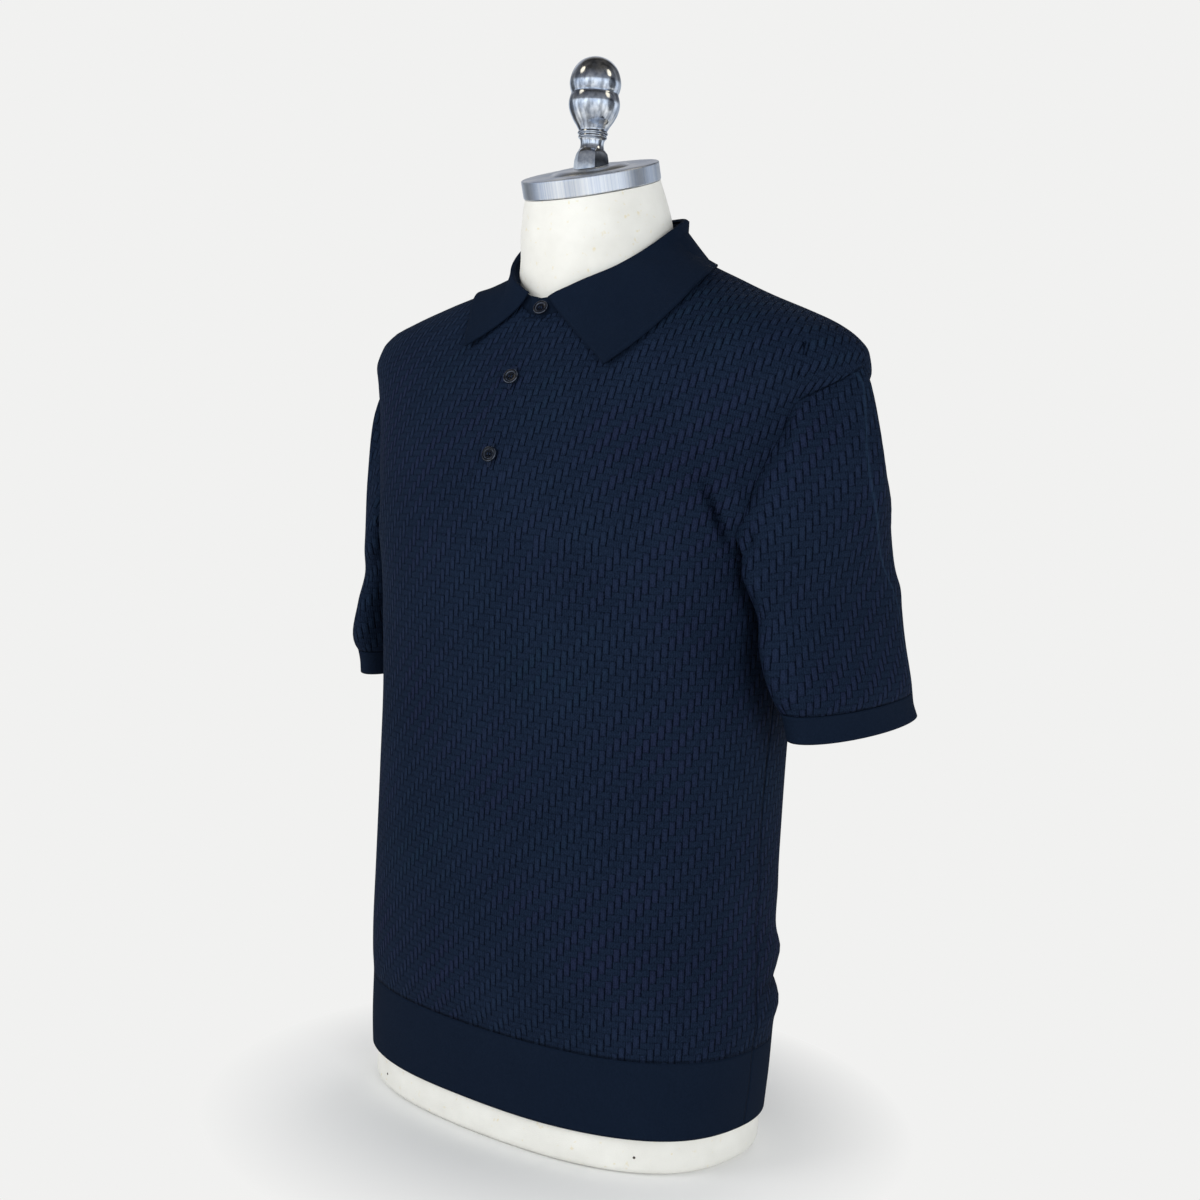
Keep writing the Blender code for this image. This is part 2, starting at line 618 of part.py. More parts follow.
def add_collar(columns=38, rows=7):
    """The fall: rolled over the stand's top, then down to the outer edge with its points."""
    first, last = math.radians(10.0), math.radians(350.0)
    angle = np.linspace(first, last, columns + 1)
    top = fold_line(angle)
    edge = collar_edge(angle)
    out = unit(np.stack([np.sin(angle), -np.cos(angle), 0 * angle], axis=-1))
    crest = top + out * 0.8 + np.array([0, 0, SEAM + RIB * 0.55])
    near_end = np.minimum(angle - first, last - angle) / math.radians(35.0)
    roll = (RIB + 0.1 + (COLLAR_ROLL - RIB) * np.clip(near_end, 0, 1))[:, None]
    bow = 1 + 0.35 * np.clip((65 - np.abs(np.degrees(angle) - 180)) / 35, 0, 1)
    grid = []
    for turn in (0.0, 60.0, 120.0):
        bend = math.radians(turn)
        outward = roll * (1 - math.cos(bend))
        upward = roll * math.sin(bend)
        grid.append(crest - out * RIB * 0.5 + out * outward + np.array([0, 0, 1]) * upward)
    start = grid[-1]
    for t in np.linspace(0, 1, rows - 1)[1:]:
        outward = (t ** bow)[:, None]
        share = outward * np.array([1, 1, 0]) + t * np.array([0, 0, 1])
        line = start * (1 - share) + edge * share
        grid.append(push_off_body(line, COLLAR_CLEAR + RIB))
    grid = np.array(grid)
    return wall("collar", grid, -grid_normals(grid, False), RIB, "plain")


# ---------------------------------------------------------------- turned pieces
def turned(name, outline, centre, axis, finish, sides=24, sharp=40.0):
    """A turned solid: an outline of (height, radius) from the bottom up, along an axis."""
    axis = unit(np.asarray(axis, float))
    helper = np.array([1.0, 0, 0]) if abs(axis[0]) < 0.9 else np.array([0, 1.0, 0])
    across = unit(np.cross(axis, helper))
    third = np.cross(axis, across)
    angle = np.arange(sides) * 2 * math.pi / sides
    circle = np.cos(angle)[:, None] * across + np.sin(angle)[:, None] * third
    rings = np.array([np.asarray(centre) + axis * h + circle * max(r, 0.05) for h, r in outline])
    return closed_loft(name, rings, finish, sharp)


def add_button(index, height):
    """A button with a raised rim round a sunk middle, lying on the band below it."""
    normal = torso_normal(np.array(0.0), np.array(height))
    rise = PLACKET_LIFT + KNIT + SEAM if index > 1 else 2.9
    base = torso(np.array(0.0), np.array(height)) + normal * rise
    r = BUTTON_RADIUS
    outline = ((0.0, r * 0.55), (0.35, r * 0.86), (1.1, r), (1.9, r * 0.97), (2.3, r * 0.84), (2.2, r * 0.7), (1.5, r * 0.6),
               (1.4, r * 0.02))
    return turned(f"button_{index}", outline, base, normal, "button", sides=16)


def cap_axis():
    """Unit vector along the neck cap's axis, leaning to the front."""
    tilt = math.radians(CAP_TILT)
    return np.array([0, -math.sin(tilt), math.cos(tilt)])


def add_cap():
    """The neck cap: a thick disc with a low boss in the middle of its top."""
    base = np.array(CAP_TOP_CENTRE) - cap_axis() * CAP_HEIGHT
    outline = ((0.0, CAP_RADIUS - 0.8), (0.8, CAP_RADIUS), (CAP_HEIGHT - 0.9, CAP_RADIUS), (CAP_HEIGHT, CAP_RADIUS - 0.9),
               (CAP_HEIGHT, CAP_BOSS_RADIUS), (CAP_HEIGHT + CAP_BOSS_HEIGHT, CAP_BOSS_RADIUS - 4.0),
               (CAP_HEIGHT + CAP_BOSS_HEIGHT, 0.05))
    return turned("form_cap", outline, base, cap_axis(), "brushed", sides=40)


def add_knob():
    """The turned knob above the nut, on an upright rod line."""
    rows = np.array(KNOB)[::-1]
    outline = [(KNOB_TOP - depth, radius) for depth, radius in rows]
    return turned("form_knob", outline, (0, KNOB_Y, 0), (0, 0, 1), "chrome", sides=20, sharp=30.0)


def add_nut():
    """The six-sided nut under the knob, its foot cut to the cap's slope."""
    angle = np.arange(6) * math.pi / 3 + math.radians(20)
    circle = np.stack([np.cos(angle), np.sin(angle), 0 * angle], axis=-1)
    centre = np.array([0, KNOB_Y, 0])
    rings = []
    for radius, height in ((NUT_RADIUS, 0.0), (NUT_RADIUS, NUT_TOP - NUT_CHAMFER), (NUT_RADIUS - NUT_CHAMFER, NUT_TOP)):
        ring = centre + circle * radius
        ring[:, 2] = height
        rings.append(ring)
    seat = np.array(CAP_TOP_CENTRE) + cap_axis() * (CAP_BOSS_HEIGHT + SEAM)
    slope = math.tan(math.radians(CAP_TILT))
    rings[0][:, 2] = seat[2] + (rings[0][:, 1] - seat[1]) * slope
    return closed_loft("form_nut", np.array(rings), "chrome", 20.0)


def form_surface(turn, height):
    """A point of the form: the body's surface moved in by the cloth and the clearance."""
    inset = KNIT + column(FORM_CLEAR, FORM_CLEAR_COLUMNS, "clear", height)
    return torso(turn, height) - torso_normal(turn, height) * inset[..., None]


def form_neck_root(turn):
    """Height at each angle where the form's shoulders reach its neck's oval."""
    low = np.full(len(turn), 600.0)
    high = np.full(len(turn), 683.0)
    for _ in range(40):
        middle = (low + high) / 2
        point = form_surface(turn, middle)
        outside = np.hypot(point[:, 0] / FORM_ROOT_HALF_WIDTH, (point[:, 1] - FORM_ROOT_CENTRE) / FORM_ROOT_DEPTH) > 1
        low = np.where(outside, middle, low)
        high = np.where(outside, high, middle)
    return (low + high) / 2


def add_form(columns=36, low_rows=10, high_rows=12):
    """The dress form: the body surface set in from the cloth, a neck, and a flat base."""
    turn = np.arange(columns) * 2 * math.pi / columns
    rings = []
    for height, step in FORM_CORNER:
        ring = torso(turn, np.full(columns, 16.0), FORM_FOOT_INSET + step)
        ring[:, 2] = height
        rings.append(ring)
    for height in np.linspace(40, ARMPIT, low_rows):
        rings.append(form_surface(turn, np.full(columns, height)))
    root = form_neck_root(turn)
    for t in np.linspace(0, 1, high_rows + 1)[1:]:
        share = t ** 0.8
        rings.append(form_surface(turn, ARMPIT + (root - ARMPIT) * share))
    foot = rings.pop()
    plan = np.arctan2(foot[:, 0] / FORM_ROOT_HALF_WIDTH, (FORM_ROOT_CENTRE - foot[:, 1]) / FORM_ROOT_DEPTH)
    stations = [foot]
    for row in NECK_RINGS:
        ring = dict(zip(NECK_RING_COLUMNS, row))
        x = ring["radius"] * np.sin(plan)
        y = ring["centre"] - ring["radius"] * np.cos(plan)
        stations.append(np.column_stack([x, y, ring["height"] + ring["slope"] * (y - ring["centre"])]))
    tilt = math.radians(CAP_TILT)
    base = np.array(CAP_TOP_CENTRE) - cap_axis() * (CAP_HEIGHT + SEAM)
    lean = np.stack([np.sin(plan), -np.cos(plan) * math.cos(tilt), -np.cos(plan) * math.sin(tilt)], axis=-1)
    stations.append(base + (CAP_RADIUS - 0.6) * lean)
    rings.extend(through_stations(np.array(stations), (2, 2, 3)))
    return closed_loft("form_body", np.array(rings), "form", 60.0)


def build():
    """Clears the scene and makes every piece."""
    for old in list(bpy.data.objects):
        bpy.data.objects.remove(old, do_unlink=True)
    add_panel("front", 1)
    add_panel("back", -1)
    add_hem("hem_front", 1)
    add_hem("hem_back", -1)
    add_placket()
    add_sleeve("left", 1)
    add_sleeve("right", -1)
    add_collar_stand()
    add_collar()
    for index, height in enumerate(BUTTON_HEIGHTS, start=1):
        add_button(index, height)
    add_form()
    add_cap()
    add_nut()
    add_knob()


build()
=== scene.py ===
# %% [markdown]
# # A knitted polo shirt on a dress form
# The measured solids are loaded first and never moved. Each soft solid is then replaced by
# a thin cloth shell that follows the same sections, with its creases, seams and knit.

# %% Load the solids
import math

import bmesh
import bpy
import numpy as np
from mathutils import Matrix, Vector


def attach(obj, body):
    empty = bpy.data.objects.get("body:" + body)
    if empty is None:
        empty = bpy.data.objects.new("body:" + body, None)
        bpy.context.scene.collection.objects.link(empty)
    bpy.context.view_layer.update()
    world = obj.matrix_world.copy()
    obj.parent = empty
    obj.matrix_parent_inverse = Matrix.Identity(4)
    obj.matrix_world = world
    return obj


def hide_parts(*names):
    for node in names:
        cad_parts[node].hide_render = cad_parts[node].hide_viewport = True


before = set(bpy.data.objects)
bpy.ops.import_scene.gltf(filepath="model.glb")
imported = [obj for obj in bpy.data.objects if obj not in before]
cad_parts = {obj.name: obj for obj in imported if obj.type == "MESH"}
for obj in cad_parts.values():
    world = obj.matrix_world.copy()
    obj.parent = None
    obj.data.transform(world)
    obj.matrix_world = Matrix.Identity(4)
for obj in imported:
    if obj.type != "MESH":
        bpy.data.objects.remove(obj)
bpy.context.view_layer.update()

MM, QUARTER_TURN = 0.001, math.pi / 2
print("solids:", sorted(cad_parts))

# %% [markdown]
# The camera comes early, so that every test picture is taken from the same place. It stands
# 37.5 degrees round to the wearer's left, a little above half height, looks slightly down and
# leans about three degrees. Its turn is written as three directions: right, up and back.

# %% Camera
CAMERA_TURN, CAMERA_PITCH, CAMERA_ROLL = np.radians((37.5, 3.98, 3.25))
CAMERA_DISTANCE, CAMERA_HEIGHT, CAMERA_SHIFT_Y = 1.2951, 0.4969, 0.017
LENS_PIXELS, FRAME_PIXELS, SENSOR_WIDTH = 1616.5, 1200, 36


def placed(name, data):
    """A new object that holds this data, linked into the scene."""
    made = bpy.data.objects.new(name, data)
    bpy.context.scene.collection.objects.link(made)
    return made


def turned(first, second, angle):
    """Two square directions after a turn: first * cos + second * sin, and second * cos - first * sin."""
    c, s = math.cos(angle), math.sin(angle)
    return first * c + second * s, second * c - first * s


right, forward = turned(*np.eye(3)[:2], CAMERA_TURN)
place = (0, CAMERA_SHIFT_Y, CAMERA_HEIGHT) - forward * CAMERA_DISTANCE
forward, up = turned(forward, np.eye(3)[2], -CAMERA_PITCH)
right, up = turned(right, up, CAMERA_ROLL)
camera = placed("camera", bpy.data.cameras.new("camera"))
camera.data.sensor_width, camera.data.lens = SENSOR_WIDTH, LENS_PIXELS / FRAME_PIXELS * SENSOR_WIDTH
camera.matrix_world = Matrix([*np.column_stack([right, up, -forward, place]).tolist(), (0, 0, 0, 1)])
bpy.context.scene.camera = camera
print("lens, mm:", round(camera.data.lens, 1), "camera at", place.round(3))

# %% [markdown]
# Sizes are read from short tables whose columns have names. A smooth curve through a column
# could be a spline from a library; a cubic that never swings past its rows is safer here,
# because a swing in a section table would show as a dent all round the shirt.

# %% Reading a table
def cubic(a, b, slope_a, slope_b, span, t):
    """Curve from a to b over a span, at shares t, that leaves and arrives with the two slopes."""
    return (a * (1 + 2 * t) * (1 - t) ** 2 + span * slope_a * t * (1 - t) ** 2
            + b * t * t * (3 - 2 * t) + span * slope_b * t * t * (t - 1))


def between(a, b, share):
    """a * (1 - share) + b * share."""
    return a * (1 - share) + b * share


def unit(vectors):
    """Vectors divided by their length."""
    return vectors / np.maximum(np.linalg.norm(vectors, axis=-1, keepdims=True), 1e-9)


class Table:
    """Rows of numbers under column names: a loop gives each row, `at` reads between them."""

    def __init__(self, names, *rows):
        self.names, self.rows = names.split(), np.array(rows, float)

    def __iter__(self):
        return (dict(zip(self.names, row)) for row in self.rows)

    def at(self, name, place):
        """A column by the first one: a cubic between rows, its slopes the harmonic mean of its neighbours."""
        x, y = self.rows[:, 0], self.rows[:, self.names.index(name)]
        step = np.diff(x)
        slope = np.diff(y) / step
        before, after = slope[:-1], slope[1:]
        same = before * after > 0
        tangent = np.where(same, 2 * before * after / np.where(same, before + after, 1), 0)
        tangent = np.concatenate([slope[:1], tangent, slope[-1:]])
        place = np.clip(place, x[0], x[-1])
        i = np.clip(np.searchsorted(x, place, side="right") - 1, 0, len(x) - 2)
        return cubic(y[i], y[i + 1], tangent[i], tangent[i + 1], step[i], (place - x[i]) / step[i])


# %% [markdown]
# The shirt's body hangs on a form, so every level section is a rounded oval. Each row of the
# table gives one section in mm: half its width, and where the centre front, centre back and
# side seam lie. `square` pushes the four corners out, `middle` moves the section sideways.

# %% The body's sections
TORSO = Table(
    "height half_width front back side square middle",
    (0, 171.5, -103.5, 104, 4, .055, 0), (28, 173, -105.5, 105, 4, .075, 0), (60, 176, -108, 106, 4, .065, 0),
    (86, 177, -109.5, 107, 4, .06, 0), (106, 178, -115, 110, 4, .05, 0), (180, 173.5, -121.5, 108, 4, .055, 0),
    (260, 172, -122.5, 110, 4, .06, 0), (340, 175, -125.5, 111, 4, .045, 0), (400, 177, -129, 109, 5, .05, 0),
    (455, 182, -130.5, 108, 7, .06, 0), (500, 191, -126, 108, 8, .055, 0), (545, 206, -114, 108, 8, .045, 0),
    (573, 220, -103.5, 105, 8, .035, 0), (591, 229, -95, 101, 8, .025, 0), (604, 227, -88.5, 97, 8, .015, 0),
    (614, 218.5, -83, 93, 8, .005, 0), (624, 199.5, -77, 90, 11, 0, 2), (636, 166.5, -70.5, 85, 14, 0, 5),
    (648, 128, -63.5, 79, 14, 0, 11), (660, 96.5, -56, 70, 12, 0, 15), (672, 72, -47.5, 60, 9, 0, 13),
    (684, 56, -39, 49, 6, 0, 7))


def torso(turn, height, inset=0.0):
    """x = half width * sin(turn), y = side - depth * cos(turn), both swollen by 1 + square * sin(2 turn)^2."""
    side = TORSO.at("side", height)
    depth = np.where(np.cos(turn) > 0, side - TORSO.at("front", height), TORSO.at("back", height) - side) - inset
    swell = 1 + TORSO.at("square", height) * np.sin(2 * turn) ** 2
    x = TORSO.at("middle", height) + (TORSO.at("half_width", height) - inset) * swell * np.sin(turn)
    return np.stack([x, side - depth * swell * np.cos(turn), np.broadcast_to(height, np.shape(x))], axis=-1)


def torso_normal(turn, height):
    """Outward unit normal: the cross product of a small step round and a small step up."""
    return unit(np.cross(torso(turn + 0.01, height) - torso(turn - 0.01, height),
                         torso(turn, height + 1.5) - torso(turn, height - 1.5)))


# %% [markdown]
# Cloth that hangs keeps a few soft folds, none of them like another. Each is a low ridge, or
# with a minus sign a trough: long one way, narrow the other, and gone at its ends. They are
# placed one by one, and the sides that the photograph hides get folds of the same kind.

# %% Folds of the body
MM_PER_RADIAN = 150
FOLD_COLUMNS = "turn height half_length half_width lift slope"
FOLDS = Table(
    FOLD_COLUMNS,
    (118, 152, 75, 11, 3.6, -4), (112, 112, 60, 9, 3, 5), (-122, 146, 70, 11, 3.2, 5), (-116, 110, 55, 9, 2.6, -3),
    (172, 160, 80, 12, 3, 2), (63, 488, 25, 6.5, 4.4, -56), (-63, 483, 24, 6.5, 4, 56), (116, 470, 30, 9, 2.4, 54),
    (-115, 466, 30, 9, 2.6, -54))
CREASES = Table(
    FOLD_COLUMNS,
    (57, 482, 25, 3.2, -3.6, -56), (-57.5, 477, 24, 3.2, -3.4, 56), (124, 466, 26, 4, -2.9, 54),
    (-123, 461, 25, 4, -3, -54), (49, 462, 34, 9, 1.2, -56), (-48, 458, 32, 9, 1.1, 56), (122, 131, 62, 5, -2.4, 1),
    (-120, 128, 58, 5, -2.2, 2), (96, 210, 60, 13, 1.1, -14), (-98, 204, 58, 12, 1, 12), (150, 330, 90, 20, 1.2, 60),
    (-152, 322, 84, 19, 1.1, -62), (180, 520, 70, 22, .9, 88), (168, 136, 66, 6, -1.8, 3), (24, 250, 120, 26, .7, 74),
    (-30, 262, 110, 24, .6, -70))


def fold_lift(turn, height, tables=(FOLDS, CREASES)):
    """Sum over the folds of lift * exp(-(along / half length)^2 - (aside / half width)^2)."""
    total = np.zeros(np.broadcast(turn, height).shape)
    for fold in (fold for table in tables for fold in table):
        across = ((turn - math.radians(fold["turn"]) + math.pi) % math.tau - math.pi) * MM_PER_RADIAN
        along, aside = turned(across, height - fold["height"], math.radians(fold["slope"]))
        total += fold["lift"] * np.exp(-(along / fold["half_length"]) ** 2 - (aside / fold["half_width"]) ** 2)
    return total


def on_body(turn, height, lift=0.0):
    """Cloth on the body: the section's point moved along its normal by the folds and a lift."""
    return torso(turn, height) + torso_normal(turn, height) * (fold_lift(turn, height) + lift)[..., None]


print("body at the chest, mm:", torso(np.array([0, QUARTER_TURN, math.pi]), 455).round(1).tolist())

# %% [markdown]
# A knit pattern lies straight in the cloth, not in the air, so each cloth piece needs the
# coordinates it had when it lay flat. An unwrap tool could guess them. Here every link of the
# grid, along, up and across, pulls in the plane until it has its real length again, coarse
# grid first. That is what laying the piece on a table does, and it also gives the cut's size.

# %% Laying a piece flat
STEP_GAIN, SEAM_REACH = 1.9, 14


def strip_flat(grid):
    """Flat coordinates of a narrow band: length along each row from its middle, and up each column."""
    across, up = (np.cumsum(np.linalg.norm(np.diff(grid, axis=k), axis=-1), axis=k) for k in (1, 0))
    across = np.pad(across, ((0, 0), (1, 0)))
    return np.stack([across - across[:, [across.shape[1] // 2]], np.pad(up, ((1, 0), (0, 0)))], axis=-1)


def resampled(values, *counts):
    """Bilinear values on a finer grid over the same square of parameters."""
    for axis, count in enumerate(counts):
        values = np.moveaxis(values, axis, 0)
        place = np.linspace(0, len(values) - 1, count)
        first = np.minimum(place.astype(int), len(values) - 2)
        values = np.moveaxis(between(values[first], values[first + 1], (place - first)[:, None, None]), 0, axis)
    return values


def relaxed(flat, grid, rounds):
    """Each round, every link moves its two ends by half of (length now - real length), averaged at each point."""
    links = ((np.s_[:-1, :], np.s_[1:, :]), (np.s_[:, :-1], np.s_[:, 1:]),
             (np.s_[:-1, :-1], np.s_[1:, 1:]), (np.s_[:-1, 1:], np.s_[1:, :-1]))
    lengths = [np.linalg.norm(grid[b] - grid[a], axis=-1) for a, b in links]
    count = np.zeros(grid.shape[:2])
    for ends in links:
        for end in ends:
            count[end] += 1
    for _ in range(rounds):
        move = np.zeros_like(flat)
        for (a, b), length in zip(links, lengths):
            span = flat[b] - flat[a]
            pull = span * (0.5 * (1 - length / np.maximum(np.linalg.norm(span, axis=-1), 1e-6)))[..., None]
            move[a] += pull
            move[b] -= pull
        flat = flat + move * (STEP_GAIN / count)[..., None]
    return flat


def laid_flat(grid, steps=(20, 10, 5, 1), rounds=(400, 300, 200, 200)):
    """Flat (across, up) in mm: relaxed on coarse grids first, then turned so that the middle column is upright."""
    flat = strip_flat(grid[::steps[0], ::steps[0]])
    flat[..., 1] = (flat[..., 1] + flat[:, [flat.shape[1] // 2], 1]) / 2
    for step, count in zip(steps, rounds):
        part = grid[::step, ::step]
        flat = relaxed(resampled(flat, *part.shape[:2]), part, count)
    middle = flat.shape[1] // 2
    flat = flat - flat[0, middle]
    spine = unit(flat[-1, middle])
    return np.stack([flat @ np.array([spine[1], -spine[0]]), flat @ spine], axis=-1)


def seam_distance(flat):
    """Distance in mm, in the flat cloth, from every point to the nearest edge of its piece, up to a reach."""
    border = np.concatenate([flat[0], flat[-1], flat[:, 0], flat[:, -1]]).astype(np.float32)
    points = flat.reshape(-1, 1, 2).astype(np.float32)
    nearest = np.full(len(points), SEAM_REACH, np.float32)
    for part in np.array_split(border, 12):
        gaps = np.hypot(points[..., 0] - part[:, 0], points[..., 1] - part[:, 1])
        nearest = np.minimum(nearest, gaps.min(axis=1))
    return nearest.reshape(flat.shape[:2])


# %% [markdown]
# One function turns a grid of points into a cloth piece. Its faces come from the grid's own
# order, its flat coordinates become a UV map in metres, and the distance to the seam is kept
# as an attribute, for the material to draw the seam with. Solidify gives the real thickness.

# %% From a grid to a cloth piece
KNIT_THICK, PLAIN_THICK, LEAST_FILL = 1.3, 1.5, 0.31
CUTS = {}


def grid_faces(rows, columns, ring):
    """Corner numbers of every square of a grid; on a ring the last column is followed by the first."""
    r, c = np.meshgrid(np.arange(rows - 1), np.arange(columns if ring else columns - 1), indexing="ij")
    low, d = r * columns, (c + 1) % columns
    return np.stack([low + c, low + d, low + columns + d, low + columns + c], axis=-1).reshape(-1, 4)


def surface(name, grid, ring=False, centre=None, flat=None, marks=None, sharp=None):
    """A mesh object from a grid in mm; faces are turned to point away from `centre`, or the vertical axis."""
    rows, columns = grid.shape[:2]
    faces, spots = grid_faces(rows, columns, ring), grid_faces(rows, columns + ring, False)
    points = grid.reshape(-1, 3)
    centre = points * (0, 0, 1) if centre is None else np.broadcast_to(centre, grid.shape).reshape(-1, 3)
    a, b, c = (points[faces[:, k]] for k in (0, 1, 3))
    if (np.cross(b - a, c - a) * (a - centre[faces[:, 0]])).sum() < 0:
        faces, spots = faces[:, ::-1], spots[:, ::-1]
    mesh = bpy.data.meshes.new(name)
    mesh.vertices.add(len(points))
    mesh.vertices.foreach_set("co", (points * MM).astype(np.float32).ravel())
    mesh.loops.add(faces.size)
    mesh.loops.foreach_set("vertex_index", faces.astype(np.int32).ravel())
    mesh.polygons.add(len(faces))
    mesh.polygons.foreach_set("loop_start", np.arange(0, faces.size, 4, dtype=np.int32))
    mesh.update(calc_edges=True)
    mesh.shade_smooth()
    if sharp is not None:
        mesh.set_sharp_from_angle(angle=math.radians(sharp))
    if flat is not None:
        uv = (flat.reshape(-1, 2)[spots.ravel()] * MM).astype(np.float32)
        mesh.uv_layers.new(name="cloth").data.foreach_set("uv", uv.ravel())
    for mark, values in (marks or {}).items():
        mesh.attributes.new(mark, "FLOAT", "POINT").data.foreach_set("value", values.astype(np.float32).ravel())
    mesh.validate()
    return placed(name, mesh)


def dress(made, material, slot=None, *nodes):
    made.data.materials.append(material)
    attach(made, "root")
    if nodes:
        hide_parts(*nodes)
    return made


def cloth(name, grid, flat, slot, ring=False, centre=None, marks=None):
    """A cloth piece that stands for the solid of the same name, with its cut worked out from its flat coordinates and
    kept in CUTS.
    """
    material, thickness = KNITS[slot]
    seam = seam_distance(flat)
    marks = {"seam": seam[:, :-1] if ring else seam, **(marks or {})}
    made = surface(name + "_cloth", grid, ring, centre, flat, marks)
    solidify = made.modifiers.new("thickness", "SOLIDIFY")
    solidify.thickness, solidify.offset = thickness * MM, -1
    dress(made, material, slot, name)
    width, length = map(float, np.ptp(flat.reshape(-1, 2), axis=0) * MM)
    diagonals = flat[1:, 1:] - flat[:-1, :-1], flat[1:, :-1] - flat[:-1, 1:]
    area = 0.5 * np.abs(np.cross(*diagonals)).sum() * MM * MM
    area = float(np.clip(area, LEAST_FILL * width * length, width * length))
    CUTS[name] = [round(width, 3), round(length, 3), round(area, 4)]
    print(name, "cut, m:", CUTS[name], "squares:", len(made.data.polygons))


# %% [markdown]
# Materials are made of nodes. Wiring them one by one hides the formula, so a small class
# wraps a socket and lets plain arithmetic add the Math nodes: `1 - mask * 2` is two nodes.

# %% Writing shader maths as expressions
def join(entry, value):
    """A link where the value is a wire, and otherwise the socket's own number or colour."""
    if isinstance(value, Wire):
        value.tree.links.new(value.socket, entry)
    else:
        entry.default_value = (*value[:3], 1) if entry.type == "RGBA" else value


class Wire:
    """A node's output that can be added, multiplied or compared; each operator adds one Math node."""

    def __init__(self, tree, socket):
        self.tree, self.socket = tree, socket

    def maths(self, operation, *values):
        """One Math node on these values, giving its output."""
        node = self.tree.nodes.new("ShaderNodeMath")
        node.operation = operation
        for entry, value in zip(node.inputs, values):
            join(entry, value)
        return Wire(self.tree, node.outputs[0])

    def __lt__(self, other):
        return self.maths("LESS_THAN", self, other)

    def clipped(self):
        """The value held between 0 and 1."""
        return self.maths("MAXIMUM", self.maths("MINIMUM", self, 1), 0)

    def hump(self):
        """4 x (1 - x): zero at 0 and 1, one in the middle."""
        return (self * (1 - self) * 4).clipped()


def operator(operation, reflected=False):
    """A method that adds this Math node; reflected, the other value comes first."""
    return lambda self, other: self.maths(operation, *((other, self) if reflected else (self, other)))


def one_sided(operation):
    """A method that adds this Math node on the value alone."""
    return lambda self: self.maths(operation, self)


for name, operation in (("add", "ADD"), ("sub", "SUBTRACT"), ("mul", "MULTIPLY"), ("truediv", "DIVIDE"),
                        ("pow", "POWER"), ("mod", "FLOORED_MODULO")):
    setattr(Wire, f"__{name}__", operator(operation))
    setattr(Wire, f"__r{name}__", operator(operation, True))
for name, operation in (("floor", "FLOOR"), ("part", "FRACT"), ("absolute", "ABSOLUTE"), ("sine", "SINE"),
                        ("cosine", "COSINE")):
    setattr(Wire, name, one_sided(operation))


class Nodes:
    """A node tree being filled; `node` adds any node."""

    def __init__(self, tree):
        self.tree = tree

    def node(self, kind, settings=None, values=None, out=0):
        """Any node by its type: its settings are set first, then its sockets by name or number."""
        node = self.tree.nodes.new("ShaderNode" + kind)
        for key, value in (settings or {}).items():
            setattr(node, key, value)
        for key, value in (values or {}).items():
            join(node.inputs[key], value)
        return Wire(self.tree, node.outputs[out])

    def parts(self, vector):
        """The three parts of a vector."""
        first = self.node("SeparateXYZ", values={0: vector})
        return [Wire(self.tree, socket) for socket in first.socket.node.outputs]

    def packed(self, *parts):
        """A vector from its three parts."""
        return self.node("CombineXYZ", values=dict(enumerate(parts)))

    def place(self, source="Object"):
        """The object's own coordinates; in a world, Generated is the direction."""
        return self.node("TexCoord", out=source)

    def mark(self, name):
        """A number in mm kept at the piece's points: distance to the seam, depth of a fold, or the pressed line."""
        return self.node("Attribute", {"attribute_name": name}, out=2)

    def mixed(self, factor, first, second, blend="MIX"):
        """A colour between two, by a factor."""
        return self.node("Mix", {"data_type": "RGBA", "blend_type": blend}, {"Factor": factor, 6: first, 7: second}, 2)

    def noise(self, where, scale, detail=2):
        """Cloudy values from 0 to 1 at this many lumps a metre."""
        return self.node("TexNoise", values={"Vector": where, "Scale": scale, "Detail": detail})

    def ramp(self, factor, stops):
        """A colour that changes with a factor, through (place, colour) stops."""
        made = self.node("ValToRGB", values={0: factor})
        elements = made.socket.node.color_ramp.elements
        for place, shade in stops:
            elements.new(place).color = (*shade, 1)
        elements.remove(elements[0])
        elements.remove(elements[-1])
        return made


class Finish(Nodes):
    """A material being made; `feed` gives its shader a number, a colour or a link."""

    def __init__(self, name, colour, roughness, metallic=0, specular=0.5):
        self.material = bpy.data.materials.new(name)
        self.material.use_nodes = True
        super().__init__(self.material.node_tree)
        self.shader = self.tree.nodes["Principled BSDF"]
        self.feed("Base Color", colour)
        self.feed("Roughness", roughness)
        self.feed("Metallic", metallic)
        self.feed("Specular IOR Level", specular)

    def feed(self, entry, value):
        """A number, a colour or a link into one of the shader's own sockets."""
        join(self.shader.inputs[entry], value)

    def bumped(self, height, distance):
        """Feeds the shader's normal with a height in units of `distance` metres."""
        self.feed("Normal", self.node("Bump", values={"Height": height, "Distance": distance}))


# %% [markdown]
# The shirt's cloth looks plaited: strips 5 mm wide go over two and under two, and every
# column starts one row higher than the last, so the floats climb to the right. In numbers,
# with u across and v up counted in strips: an upright float shows where (v - floor(u)) mod 4
# is under 2, and a level one elsewhere. Upright floats stand prouder and catch more light,
# and the colour paints that light too: a painted highlight on their crowns, painted shade in
# the gaps beside them, most on their right, and a darker, shaded copy of the yarn colour on
# the level floats. Modelled loops would take millions of faces, so the relief is a bump.

# %% The basket knit and the plain knit
STRIP_ACROSS, STRIP_UP, WALE, COURSE = 0.0052, 0.0049, 0.0011, 0.0009
# The first colour is the dark of the painted gaps and creases and of the random mottle; the second is the yarn painted
# darker for the level floats, a painted shade.
KNIT_DARK, KNIT_LEVEL_SHADED = (.001, .0025, .007), (.0094, .0174, .0374)
KNIT_LIGHT, KNIT_VIOLET = (.01, .0206, .042), (.0126, .0184, .045)
